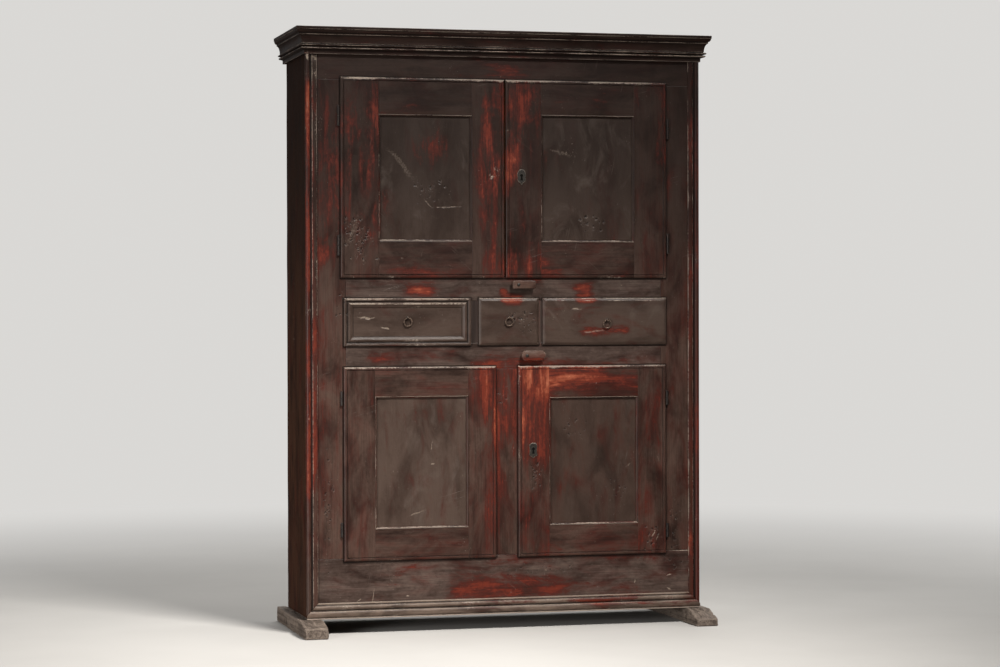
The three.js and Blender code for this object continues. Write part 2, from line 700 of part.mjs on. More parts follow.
// The door's half: the upper knuckle, bored for the pin, and a leaf in the lip's back.
function hingeDoorHalf(hinge) {
  const axis = hingeAxis(hinge);
  const high = hingeSpan(hinge)[1];
  const low = hinge.centre + FIT / 2;
  const leaf = block(...acrossFrom(hinge, 0, HINGE_AXIS_OUT + NOSE_RADIUS),
    FACE - FIT - HINGE_LEAF_THICKNESS, FACE - FIT, low, high);
  return upright(axis, low, high, KNUCKLE_RADIUS).add(leaf);
}

function hingeBore(hinge) {
  const axis = hingeAxis(hinge);
  const high = hingeSpan(hinge)[1] - KNUCKLE_RADIUS + FIT;
  return upright(axis, hinge.centre - OVERRUN, high, HINGE_PIN_RADIUS + PIN_FIT);
}

// Doors

// What the nose plane takes off the door's outer front edge.
function noseCut(front, radius) {
  return [
    [-OVERRUN, front - OVERRUN], [radius, front - OVERRUN],
    ...arc(radius, front + radius, radius, radius, 270, 180),
    [-OVERRUN, front + radius],
  ];
}

function quirkCut(front) {
  return [
    [QUIRK_INSET - QUIRK_WIDTH / 2, front - QUIRK_DEPTH / 2], [QUIRK_INSET, front + QUIRK_DEPTH],
    [QUIRK_INSET + QUIRK_WIDTH / 2, front - QUIRK_DEPTH / 2],
  ];
}

// What the sticking plane takes off round the panel: a fillet and an ovolo.
function stickingCut(front) {
  const depth = PANEL_RECESS - OVERRUN;
  return [
    [OVERRUN, front - OVERRUN], [-STICKING_WIDTH, front - OVERRUN],
    ...arc(-STICKING_WIDTH, front + depth, STICKING_WIDTH, depth - STICKING_FILLET, 270, 360),
    [OVERRUN, front + depth],
  ];
}

function keyholeOutline(x, z, slack = 0) {
  const radius = KEYHOLE_RADIUS + slack;
  const halfSlot = KEYHOLE_SLOT_WIDTH / 2 + slack;
  const reach = Math.sqrt(radius ** 2 - halfSlot ** 2);
  const start = THREE.MathUtils.radToDeg(Math.atan2(-reach, halfSlot));
  const head = arc(x, z, radius, radius, start, 180 - start, EYE_STEPS);
  return [...head, [x - halfSlot, z - KEYHOLE_SLOT_DROP], [x + halfSlot, z - KEYHOLE_SLOT_DROP]];
}

function makeDoor(door) {
  const { name, outline, core, hole, hinges, keyhole } = door;
  let frame = slab(outline, DOOR_FRONT, FACE - FIT, hole);
  frame = frame.add(slab(core, FACE - FIT - OVERRUN, DOOR_BACK, hole));
  frame = frame.subtract(mitredLoop(noseCut(DOOR_FRONT, NOSE_RADIUS), outline));
  frame = frame.subtract(mitredLoop(quirkCut(DOOR_FRONT), outline));
  frame = frame.subtract(mitredLoop(stickingCut(DOOR_FRONT), hole));
  const panelFront = DOOR_FRONT + PANEL_RECESS;
  const panelBack = panelFront + PANEL_THICKNESS;
  frame = frame.subtract(slab(grow(hole, PANEL_GROOVE + FIT), panelFront - FIT, panelBack + FIT));
  for (const hinge of hinges) {
    frame = frame.add(hingeDoorHalf(hinge));
    frame = frame.subtract(hingeBore(hinge));
  }
  if (keyhole) {
    const outlineOfHole = keyholeOutline(keyhole.x, keyhole.z);
    frame = frame.subtract(prism(outlineOfHole, 'y', DOOR_FRONT - OVERRUN, DOOR_BACK + OVERRUN));
  }
  place(`${name}_frame`, frame, PAINT);
  place(`${name}_panel`, slab(grow(hole, PANEL_GROOVE), panelFront, panelBack), PANEL_PAINT);
}

// A door's three rectangles: the lipped outline, the core that enters the opening
// and the hole that the panel shows in.
function doorShape(opening, lips, coreGaps, members) {
  const outline = {
    left: opening.left - lips.left, right: opening.right + lips.right,
    bottom: opening.bottom - lips.bottom, top: opening.top + lips.top,
  };
  const core = {
    left: opening.left + coreGaps.left, right: opening.right - coreGaps.right,
    bottom: opening.bottom + CORE_CLEARANCE, top: opening.top - CORE_CLEARANCE,
  };
  const hole = {
    left: outline.left + members.left, right: outline.right - members.right,
    bottom: outline.bottom + members.bottom, top: outline.top - members.top,
  };
  return { outline, core, hole };
}

function doorHinges(outline, side, length, drop, rise) {
  const edge = side < 0 ? outline.left : outline.right;
  return [
    { edge, side, length, centre: outline.top - drop },
    { edge, side, length, centre: outline.bottom + rise },
  ];
}

const upperMeeting = centred(UPPER_MEETING_OFFSET, UPPER_MEETING_GAP);
const upperSpan = { bottom: UPPER_OPENING_BOTTOM, top: UPPER_OPENING_TOP };
const lowerSpan = { bottom: LOWER_OPENING_BOTTOM, top: LOWER_OPENING_TOP };

const upperLeft = {
  name: 'door_upper_left',
  ...doorShape({ ...upperSpan, left: -OPENING_HALF, right: upperMeeting.left },
    { left: UPPER_HINGE_LIP, right: 0, bottom: LIP, top: LIP },
    { left: CORE_CLEARANCE, right: 0 },
    { left: UPPER_LEFT_HINGE_STILE, right: UPPER_LEFT_CLOSING_STILE,
      bottom: UPPER_LEFT_BOTTOM_RAIL, top: UPPER_LEFT_TOP_RAIL }),
};
upperLeft.hinges = doorHinges(upperLeft.outline, -1, UPPER_HINGE_LENGTH,
  UPPER_LEFT_HINGE_DROP, UPPER_LEFT_HINGE_RISE);

const upperRight = {
  name: 'door_upper_right',
  ...doorShape({ ...upperSpan, left: upperMeeting.right, right: OPENING_HALF },
    { left: 0, right: UPPER_HINGE_LIP, bottom: LIP, top: LIP },
    { left: 0, right: CORE_CLEARANCE },
    { left: UPPER_RIGHT_CLOSING_STILE, right: UPPER_RIGHT_HINGE_STILE,
      bottom: UPPER_RIGHT_BOTTOM_RAIL, top: UPPER_RIGHT_TOP_RAIL }),
};
upperRight.hinges = doorHinges(upperRight.outline, 1, UPPER_HINGE_LENGTH,
  UPPER_RIGHT_HINGE_DROP, UPPER_RIGHT_HINGE_RISE);
upperRight.keyhole = {
  x: upperRight.outline.left + UPPER_KEYHOLE_INSET,
  z: upperRight.outline.bottom + UPPER_KEYHOLE_RISE,
};

const lowerLeft = {
  name: 'door_lower_left',
  ...doorShape({ ...lowerSpan, left: -OPENING_HALF, right: muntin.left },
    { left: LOWER_LEFT_HINGE_LIP, right: LIP, bottom: LIP, top: LIP },
    { left: CORE_CLEARANCE, right: CORE_CLEARANCE },
    { left: LOWER_LEFT_HINGE_STILE, right: LOWER_LEFT_CLOSING_STILE,
      bottom: LOWER_LEFT_BOTTOM_RAIL, top: LOWER_LEFT_TOP_RAIL }),
};
lowerLeft.hinges = doorHinges(lowerLeft.outline, -1, LOWER_HINGE_LENGTH,
  LOWER_LEFT_HINGE_DROP, LOWER_LEFT_HINGE_RISE);

const lowerRight = {
  name: 'door_lower_right',
  ...doorShape({ ...lowerSpan, left: muntin.right, right: OPENING_HALF },
    { left: LIP, right: LOWER_RIGHT_HINGE_LIP, bottom: LIP, top: LIP },
    { left: CORE_CLEARANCE, right: CORE_CLEARANCE },
    { left: LOWER_RIGHT_CLOSING_STILE, right: LOWER_RIGHT_HINGE_STILE,
      bottom: LOWER_RIGHT_BOTTOM_RAIL, top: LOWER_RIGHT_TOP_RAIL }),
};
lowerRight.hinges = doorHinges(lowerRight.outline, 1, LOWER_HINGE_LENGTH,
  LOWER_RIGHT_HINGE_DROP, LOWER_RIGHT_HINGE_RISE);
lowerRight.keyhole = {
  x: lowerRight.outline.left + LOWER_KEYHOLE_INSET,
  z: lowerRight.outline.bottom + LOWER_KEYHOLE_RISE,
};

const doors = [upperLeft, upperRight, lowerLeft, lowerRight];

function makeHinges() {
  const ends = ['top', 'bottom'];
  for (const door of doors) {
    door.hinges.forEach((hinge, i) => {
      place(`${door.name.replace('door', 'hinge')}_${ends[i]}`, hingeFrameHalf(hinge), IRON);
    });
  }
}

// Locks and keyhole plates

// One side of the plate from its pointed head to its pointed foot, as curves over two
// lobes with a waist between: where each curve bends to, then where it ends.
const plateSideShares = [
  [0.25, 0.7, 0.8, 0.62], [1.2, 0.3, 0.75, 0],
  [1.1, -0.3, 0.65, -0.6], [0.25, -0.7, 0, -1],
];

function escutcheonOutline(x, z) {
  const halfWidth = ESCUTCHEON_WIDTH / 2;
  const halfHeight = ESCUTCHEON_HEIGHT / 2;
  const side = new THREE.Shape();
  side.moveTo(0, halfHeight);
  for (const [bendU, bendV, endU, endV] of plateSideShares) {
    side.quadraticCurveTo(bendU * halfWidth, bendV * halfHeight, endU * halfWidth, endV * halfHeight);
  }
  const right = side.getPoints(ARC_STEPS).map((point) => [point.x, point.y]);
  const left = right.slice(1, -1).reverse().map(([u, v]) => [-u, v]);
  return [...right, ...left].map(([u, v]) => [x + u, z + v]);
}

function makeLock(level, door, coreInset, setback) {
  const { keyhole } = door;
  const plateMiddle = keyhole.z - KEYHOLE_SLOT_DROP / 2 + KEYHOLE_RADIUS / 2;
  const plateBack = DOOR_FRONT - FIT;
  const plate = prism(escutcheonOutline(keyhole.x, plateMiddle), 'y', plateBack - ESCUTCHEON_THICKNESS,
    plateBack, [keyholeOutline(keyhole.x, keyhole.z)]);
  place(`escutcheon_${level}`, plate, IRON);

  const caseLeft = door.outline.left + coreInset + LOCK_EDGE_INSET;
  const front = DOOR_BACK + FIT;
  const boltMiddle = keyhole.z - KEYHOLE_SLOT_DROP;
  const bolt = {
    x: [caseLeft, caseLeft + BOLT_LENGTH],
    y: [front + setback, front + setback + BOLT_THICKNESS],
    z: [boltMiddle - BOLT_HEIGHT / 2, boltMiddle + BOLT_HEIGHT / 2],
  };
  let lock = block(caseLeft, caseLeft + LOCK_WIDTH, front, front + LOCK_DEPTH,
    keyhole.z - LOCK_HEIGHT / 2, keyhole.z + LOCK_HEIGHT / 2);
  lock = lock.subtract(block(bolt.x[0] - OVERRUN, bolt.x[1] + FIT, bolt.y[0] - FIT, bolt.y[1] + FIT,
    bolt.z[0] - FIT, bolt.z[1] + FIT));
  lock = lock.subtract(prism(keyholeOutline(keyhole.x, keyhole.z), 'y', front - OVERRUN, bolt.y[1] + FIT));
  place(`lock_case_${level}`, lock, IRON);
  place(`lock_bolt_${level}`, block(...bolt.x, ...bolt.y, ...bolt.z), IRON);
}

// Turn buttons, drawn turned level so that the doors are free

const upperButton = {
  name: 'turn_button_upper',
  x: UPPER_BUTTON_OFFSET,
  z: UPPER_OPENING_BOTTOM - UPPER_BUTTON_BELOW_OPENING,
  length: UPPER_BUTTON_LENGTH,
  width: UPPER_BUTTON_WIDTH,
  thickness: UPPER_BUTTON_THICKNESS,
  pivot: UPPER_BUTTON_PIVOT,
  round: false,
};
const lowerButton = {
  name: 'turn_button_lower',
  x: LOWER_BUTTON_OFFSET,
  z: LOWER_OPENING_TOP + LOWER_BUTTON_ABOVE_OPENING,
  length: LOWER_BUTTON_LENGTH,
  width: LOWER_BUTTON_WIDTH,
  thickness: LOWER_BUTTON_THICKNESS,
  pivot: LOWER_BUTTON_PIVOT,
  round: true,
};

const buttonBack = DOOR_FRONT - FIT * 3;

function buttonNail(button) {
  const headBack = buttonBack - button.thickness - FIT;
  const headFront = headBack - BUTTON_NAIL_HEAD_THICKNESS;
  const shank = crosswise(button, headFront, FACE + OVERRUN, BUTTON_NAIL_RADIUS);
  return shank.add(crosswise(button, headFront, headBack, BUTTON_NAIL_HEAD_RADIUS));
}

function buttonOutline(button, inset) {
  const low = button.z - button.width / 2 + inset;
  const high = button.z + button.width / 2 - inset;
  const left = button.x - button.pivot + inset;
  const right = button.x - button.pivot + button.length - inset;
  if (!button.round) return [[left, low], [right, low], [right, high], [left, high]];
  const radius = (high - low) / 2;
  return [
    ...arc(right - radius, button.z, radius, radius, -90, 90, ARC_STEPS * 2),
    ...arc(left + radius, button.z, radius, radius, 90, 270, ARC_STEPS * 2),
  ];
}

// Two stacked rings of the outline give the chamfered front face.
function makeButton(button) {
  const outer = buttonOutline(button, 0);
  const inner = buttonOutline(button, BUTTON_CHAMFER);
  const front = buttonBack - button.thickness;
  const rings = [
    outer.map(([x, z]) => [x, buttonBack, z]),
    outer.map(([x, z]) => [x, front + BUTTON_CHAMFER, z]),
    inner.map(([x, z]) => [x, front, z]),
  ];
  let shape = cappedSkin(rings, outer);
  shape = shape.add(crosswise(button, buttonBack - OVERRUN, FACE - FIT, BUTTON_BOSS_RADIUS));
  const bore = crosswise(button, front - OVERRUN, FACE + OVERRUN, BUTTON_NAIL_RADIUS + PIN_FIT);
  place(button.name, shape.subtract(bore), PAINT);
}

// Drawers

function centred(offset, width) {
  return { left: offset - width / 2, right: offset + width / 2 };
}

const leftPost = centred(LEFT_POST_OFFSET, LEFT_POST_WIDTH);
const rightPost = centred(RIGHT_POST_OFFSET, RIGHT_POST_WIDTH);

// One board: a wide post in the face frame and a thinner partition behind it.
function makePartition(name, post) {
  const middle = (post.left + post.right) / 2;
  const half = PARTITION_THICKNESS / 2;
  const outline = [
    [post.left, FACE], [post.right, FACE], [post.right, FRAME_BACK], [middle + half, FRAME_BACK],
    [middle + half, BACK_FRONT - FIT], [middle - half, BACK_FRONT - FIT], [middle - half, FRAME_BACK],
    [post.left, FRAME_BACK],
  ];
  place(name, prism(outline, 'z', DRAWER_BOTTOM + FIT, DRAWER_TOP - FIT), PAINT);
}

const drawers = [
  { name: 'drawer_left', left: -OPENING_HALF, right: leftPost.left,
    lipLeft: LEFT_DRAWER_OUTER_LIP, lipRight: DRAWER_LIP, framed: true, ringX: 0, ringDrop: 0 },
  { name: 'drawer_centre', left: leftPost.right, right: rightPost.left,
    lipLeft: DRAWER_LIP, lipRight: DRAWER_LIP, framed: false, ringX: 0, ringDrop: 0 },
  { name: 'drawer_right', left: rightPost.right, right: OPENING_HALF,
    lipLeft: DRAWER_LIP, lipRight: RIGHT_DRAWER_OUTER_LIP, framed: false,
    ringX: RIGHT_RING_OFFSET, ringDrop: RIGHT_RING_DROP },
];

// What the planes take off a drawer front. A plain front has a bevelled edge.
function bevelCut(front) {
  return [
    [-OVERRUN, front - OVERRUN], [DRAWER_BEVEL_WIDTH, front - OVERRUN], [DRAWER_BEVEL_WIDTH, front],
    [0, front + DRAWER_BEVEL_DEPTH], [-OVERRUN, front + DRAWER_BEVEL_DEPTH],
  ];
}

// A framed front keeps two rounded ridges, with a groove between them, round a sunk
// field. Shares are of the frame's width and of the field's depth.
const ridgeShares = [
  { centre: 0.14, half: 0.14, root: 0.35 },
  { centre: 0.62, half: 0.12, root: 0.2 },
];
const ridgeGrooveShares = [[0.3, 0.7], [0.42, 0.7], [0.46, 0.2]];

function pictureFrameCut(front) {
  const across = (share) => DRAWER_FRAME_WIDTH * share;
  const deep = (share) => front + DRAWER_FIELD_DEPTH * share;
  const [outer, inner] = ridgeShares.map(({ centre, half, root }) => arc(
    across(centre), deep(root), across(half), deep(root) - deep(0), 180, 360, 4,
  ));
  const edge = deep(ridgeGrooveShares[0][1]);
  const lastInset = across(1) + OVERRUN;
  return [
    [-OVERRUN, front - OVERRUN], [-OVERRUN, edge], [0, edge], ...outer,
    ...ridgeGrooveShares.map(([u, v]) => [across(u), deep(v)]), ...inner,
    [across(1), deep(1)], [lastInset, deep(1)], [lastInset, front - OVERRUN],
  ];
}

function drawerPull(drawer) {
  const x = (drawer.outline.left + drawer.outline.right) / 2 + drawer.ringX;
  const centre = (drawer.outline.bottom + drawer.outline.top) / 2 - drawer.ringDrop;
  const field = drawer.framed ? DOOR_FRONT + DRAWER_FIELD_DEPTH : DOOR_FRONT;
  const eyeRadius = RING_WIRE_RADIUS + STAPLE_SLACK + STAPLE_WIRE_RADIUS;
  return { x, z: centre + RING_RADIUS, y: field - eyeRadius - STAPLE_WIRE_RADIUS - FIT, eyeRadius };
}

function makeDrawer(drawer) {
  drawer.outline = {
    left: drawer.left - drawer.lipLeft, right: drawer.right + drawer.lipRight,
    bottom: DRAWER_BOTTOM - LIP, top: DRAWER_TOP + LIP,
  };
  const core = {
    left: drawer.left + DRAWER_CLEARANCE, right: drawer.right - DRAWER_CLEARANCE,
    bottom: DRAWER_BOTTOM + FIT, top: DRAWER_TOP - DRAWER_CLEARANCE,
  };
  const coreBack = FACE + DRAWER_CORE_DEPTH;
  const pull = drawerPull(drawer);
  let front = slab(drawer.outline, DOOR_FRONT, FACE - FIT);
  front = front.add(slab(core, FACE - FIT - OVERRUN, coreBack));
  const cut = drawer.framed ? pictureFrameCut(DOOR_FRONT) : bevelCut(DOOR_FRONT);
  front = front.subtract(mitredLoop(cut, drawer.outline));
  if (drawer.framed) {
    front = front.subtract(slab(grow(drawer.outline, -DRAWER_FRAME_WIDTH), DOOR_FRONT - OVERRUN,
      DOOR_FRONT + DRAWER_FIELD_DEPTH));
  }
  const shankBore = STAPLE_SHANK_RADIUS + FIT;
  front = front.subtract(crosswise(pull, DOOR_FRONT - OVERRUN, coreBack + OVERRUN, shankBore, WIRE_SIDES));
  place(`${drawer.name}_front`, front, PAINT);

  const boxFront = coreBack + FIT;
  const boxBack = BACK_FRONT - DRAWER_BACK_GAP;
  const inside = grow(core, -DRAWER_SIDE_THICKNESS);
  const boxTop = DRAWER_TOP - DRAWER_HEADROOM;
  let box = block(core.left, core.right, boxFront, boxBack, core.bottom, boxTop);
  box = box.subtract(block(inside.left, inside.right, boxFront - OVERRUN,
    boxBack - DRAWER_SIDE_THICKNESS, core.bottom + DRAWER_BOTTOM_THICKNESS, boxTop + OVERRUN));
  place(`${drawer.name}_box`, box, INSIDE_WOOD);
  makePull(drawer.name, pull, coreBack);
}

// A split staple, its legs driven through the front and clinched behind it, and the
// ring that hangs from its eye.
function makePull(name, pull, coreBack) {
  const eye = torus('x', pull.x, pull.y, pull.z, pull.eyeRadius, STAPLE_WIRE_RADIUS, EYE_STEPS);
  const shankBack = coreBack + FIT + STAPLE_WIRE_RADIUS * 2;
  const shank = crosswise(pull, pull.y + pull.eyeRadius, shankBack, STAPLE_SHANK_RADIUS, WIRE_SIDES);
  const clinch = block(pull.x - STAPLE_CLINCH_LENGTH, pull.x + STAPLE_CLINCH_LENGTH, coreBack + FIT,
    shankBack, pull.z - STAPLE_WIRE_RADIUS, pull.z + STAPLE_WIRE_RADIUS);
  place(name.replace('drawer', 'staple'), eye.add(shank).add(clinch), IRON);
  const ring = torus('y', pull.x, pull.y, pull.z - RING_RADIUS, RING_RADIUS, RING_WIRE_RADIUS, RING_STEPS);
  place(name.replace('drawer', 'ring'), ring, IRON);
}

makeFoot('foot_left', -1);
makeFoot('foot_right', 1);
makeSide('side_left', -1);
makeSide('side_right', 1);
makeBoards();
makeBack();
makeStile('stile_left', -1, [...upperLeft.hinges, ...lowerLeft.hinges]);
makeStile('stile_right', 1, [...upperRight.hinges, ...lowerRight.hinges]);
makeRails();
makeMuntin();
makePartition('drawer_partition_left', leftPost);
makePartition('drawer_partition_right', rightPost);
makeCornice();
makeCorner('corner_moulding_left', -1);
makeCorner('corner_moulding_right', 1);
makeBase();
for (const door of doors) makeDoor(door);
makeHinges();
makeLock('upper', upperRight, 0, UPPER_BOLT_SETBACK);
makeLock('lower', lowerRight, LIP + CORE_CLEARANCE, LOWER_BOLT_SETBACK);
for (const drawer of drawers) makeDrawer(drawer);
makeButton(upperButton);
makeButton(lowerButton);

export default cupboard;
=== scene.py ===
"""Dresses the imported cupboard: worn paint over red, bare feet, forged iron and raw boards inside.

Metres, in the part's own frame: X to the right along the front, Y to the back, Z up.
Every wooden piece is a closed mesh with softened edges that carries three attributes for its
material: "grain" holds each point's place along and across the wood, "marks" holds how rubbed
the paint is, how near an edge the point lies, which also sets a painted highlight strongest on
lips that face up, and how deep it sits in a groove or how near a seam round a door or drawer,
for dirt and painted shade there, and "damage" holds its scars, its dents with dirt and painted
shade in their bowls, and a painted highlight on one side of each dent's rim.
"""

import json
import math
import zlib

import bpy
import numpy as np
from mathutils import Matrix, Vector, noise


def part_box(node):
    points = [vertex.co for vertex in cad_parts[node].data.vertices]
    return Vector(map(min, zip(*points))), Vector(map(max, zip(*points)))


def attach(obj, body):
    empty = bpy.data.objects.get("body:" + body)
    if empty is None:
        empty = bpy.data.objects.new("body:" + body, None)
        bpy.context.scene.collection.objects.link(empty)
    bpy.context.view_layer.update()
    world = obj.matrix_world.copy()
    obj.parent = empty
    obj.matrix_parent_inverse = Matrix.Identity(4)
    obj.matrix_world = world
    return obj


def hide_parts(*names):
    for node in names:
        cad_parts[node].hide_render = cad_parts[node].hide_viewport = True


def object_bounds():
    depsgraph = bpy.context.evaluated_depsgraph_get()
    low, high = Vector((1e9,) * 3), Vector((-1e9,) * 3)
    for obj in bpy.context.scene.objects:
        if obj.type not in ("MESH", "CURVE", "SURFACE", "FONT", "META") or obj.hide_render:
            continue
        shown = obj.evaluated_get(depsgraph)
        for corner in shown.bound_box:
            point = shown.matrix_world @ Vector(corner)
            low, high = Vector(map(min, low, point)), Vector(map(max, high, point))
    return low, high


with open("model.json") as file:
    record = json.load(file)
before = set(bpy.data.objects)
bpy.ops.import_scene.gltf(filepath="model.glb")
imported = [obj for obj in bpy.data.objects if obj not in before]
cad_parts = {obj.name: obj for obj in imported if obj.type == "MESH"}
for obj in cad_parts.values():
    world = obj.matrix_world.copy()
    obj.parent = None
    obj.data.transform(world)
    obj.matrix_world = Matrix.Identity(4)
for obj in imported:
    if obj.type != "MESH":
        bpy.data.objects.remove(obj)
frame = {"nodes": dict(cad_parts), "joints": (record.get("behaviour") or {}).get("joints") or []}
cad_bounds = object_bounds()
CAD_LOW, CAD_HIGH = (np.array([float(v) for v in corner]) for corner in cad_bounds)

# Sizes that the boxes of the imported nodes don't give
LIP_PROUD = 0.009
FIT = 0.0003
HINGE_AXIS_OUT = 0.0055
CORE_CLEARANCE = 0.002
CORE_DEPTH = 0.014
PANEL_GROOVE = 0.009
PANEL_RECESS = 0.008
PANEL_HELD = 0.004
NOSE_RADIUS = 0.005
QUIRK_INSET = 0.011
QUIRK_HALF_WIDTH = 0.0016
QUIRK_DEPTH = 0.0018
STICKING_WIDTH = 0.0065
STICKING_FILLET = 0.0012
STICKING_FLAT = 0.0014
STICKING_SUNK = 0.0002
STICKING_BURIED = 0.0006
STICKING_FOOT = 0.0012
DRAWER_BEVEL_WIDTH = 0.009
DRAWER_BEVEL_DEPTH = 0.004
DRAWER_FRAME_WIDTH = 0.031
DRAWER_FIELD_DEPTH = 0.0045
BACK_STEP = 0.01
CORNER_WIDTH = 0.038
RUNNER_BEVEL = 0.086
RUNNER_NOSES = {"left": 0.037, "right": 0.024}
KNUCKLE_RADIUS = 0.0045
LEAF_PROUD = 0.0006
LEAF_SUNK = 0.0015
STRAP_LAP = 0.002
STRAP_THICKNESS = 0.0024
EYE_WIRE = 0.0014
LEG_RADIUS = 0.0019
PLATE_NAIL_RADIUS = 0.0016
KEYHOLE_RISE = 0.005
DOOR_NAIL_PLACE = (-0.049, 1.476)
DOOR_NAIL_RADIUS = 0.0026

# Mesh density and softened edges
CELL = 0.016
SIDE_CELL = 0.03
CORE_CELL = 0.04
SMALL_CELL = 0.006
FINE_CELL = 0.0018
EDGE_SOFTENING = 0.0012
RIM_SOFTENING = 0.6 * EDGE_SOFTENING
SHARP_ANGLE = math.radians(38)
SOFT_TURN = math.radians(30)
LONG_RUN = 0.2

# How uneven, dented, rubbed and dirty the surfaces are, and where painted shade falls on them
HAND_PLANED = 0.00035
MOULDING_PLANED = 0.0002
PANEL_PLANED = 0.0007
ROUGH_PLANED = 0.0008
HEWN = 0.0012
WAVE_SCALE = 7
FOOT_EROSION = 0.006
SCAR_DEPTH = 0.0009
DENTS_PER_AREA = 3400
SMALLEST_DENT = 0.0015
DENT_SPREAD = 0.0042
DENT_STEEPNESS = 0.22
EDGE_BAND = 0.004
SEAM_WIDTH = 0.0062
TOP_SHADE_FROM = 0.8
TOP_SHADE_TO = 1.6
TOP_SHADE_SHARE = 0.66

# Levels and planes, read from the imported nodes
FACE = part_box("rail_top")[0].y
FRAME_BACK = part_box("rail_top")[1].y
LEFT_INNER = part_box("stile_left")[1].x
RIGHT_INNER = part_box("stile_right")[0].x
CASE_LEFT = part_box("rail_top")[0].x
CASE_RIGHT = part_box("rail_top")[1].x
CASE_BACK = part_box("side_left")[1].y
DOOR_FRONT = FACE - LIP_PROUD
LIP_BACK = FACE - FIT
RAIL_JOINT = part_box("rail_bottom")[1].z
FRONT_LIMIT = FACE + 0.004

# Worn places on the front: the left, right, bottom and top of each, how far the paint is
# rubbed there and how softly the place ends.
WORN_PLACES = [
    (-0.67, -0.642, 0.45, 1.78, 0.72, 0.02),
    (-0.65, -0.624, 0.4, 1.2, 0.36, 0.06),
    (0.64, 0.672, 0.07, 1.7, 0.62, 0.05),
    (-0.614, -0.577, 1.2, 1.76, 0.6, 0.05),
    (-0.6, -0.56, 0.3, 1.15, 0.16, 0.08),
    (-0.06, -0.006, 1.15, 1.79, 0.46, 0.05),
    (-0.06, -0.004, 1.42, 1.62, 0.6, 0.05),
    (-0.455, -0.412, 1.26, 1.7, 0.22, 0.03),
    (-0.552, -0.52, 1.3, 1.68, 0.44, 0.03),
    (-0.54, -0.44, 1.25, 1.74, 0.2, 0.05),
    (-0.11, -0.04, 1.4, 1.76, 0.26, 0.05),
    (0.01, 0.11, 1.66, 1.79, 0.34, 0.05),
    (0.006, 0.046, 1.48, 1.58, 0.36, 0.04),
    (0.0, 0.16, 1.15, 1.24, 0.24, 0.05),
    (-0.31, -0.175, 1.525, 1.61, 0.46, 0.05),
    (-0.4, -0.12, 1.15, 1.2, 0.22, 0.03),
    (0.0, 0.03, 1.45, 1.66, 0.42, 0.04),
    (0.006, 0.076, 1.66, 1.79, 0.3, 0.04),
    (0.0, 0.16, 1.146, 1.22, 0.48, 0.05),
    (0.16, 0.42, 1.146, 1.18, 0.22, 0.03),
    (-0.325, -0.235, 1.092, 1.128, 0.95, 0.028),
    (-0.022, 0.006, 1.096, 1.116, 1.0, 0.012),
    (-0.018, 0.055, 1.056, 1.088, 0.95, 0.014),
    (0.236, 0.3, 1.07, 1.125, 0.85, 0.022),
    (-0.5, -0.16, 0.872, 0.912, 0.3, 0.02),
    (-0.12, 0.14, 0.845, 0.89, 0.4, 0.05),
    (0.25, 0.42, 0.958, 0.988, 0.62, 0.02),
    (0.238, 0.3, 1.064, 1.0815, 0.9, 0.01),
    (0.05, 0.3, 0.77, 0.862, 0.84, 0.05),
    (0.3, 0.45, 0.78, 0.862, 0.58, 0.05),
    (0.036, 0.14, 0.54, 0.862, 0.74, 0.05),
    (0.036, 0.1, 0.23, 0.56, 0.26, 0.06),
    (0.06, 0.52, 0.226, 0.3, 0.22, 0.04),
    (-0.11, -0.02, 0.72, 0.862, 0.66, 0.05),
    (-0.056, -0.016, 0.56, 0.74, 0.5, 0.04),
    (-0.07, -0.018, 0.64, 0.862, 0.6, 0.04),
    (0.02, 0.1, 1.43, 1.6, 0.2, 0.06),
    (0.185, 0.26, 0.38, 0.56, 0.18, 0.05),
    (-0.06, -0.016, 0.226, 0.52, 0.36, 0.04),
    (-0.02, 0.036, 0.64, 0.85, 0.42, 0.05),
    (-0.55, -0.25, 0.16, 0.215, 0.3, 0.05),
    (-0.2, 0.2, 0.095, 0.175, 0.5, 0.06),
    (0.15, 0.56, 0.1, 0.135, 0.3, 0.04),
    (0.53, 0.56, 1.16, 1.78, 0.25, 0.03),
    (0.2, 0.66, 0.06, 0.092, 0.55, 0.03),
    (0.44, 0.54, 0.24, 0.8, 0.22, 0.05),
    (-0.09, 0.06, 1.8, 1.85, 0.34, 0.04),
]

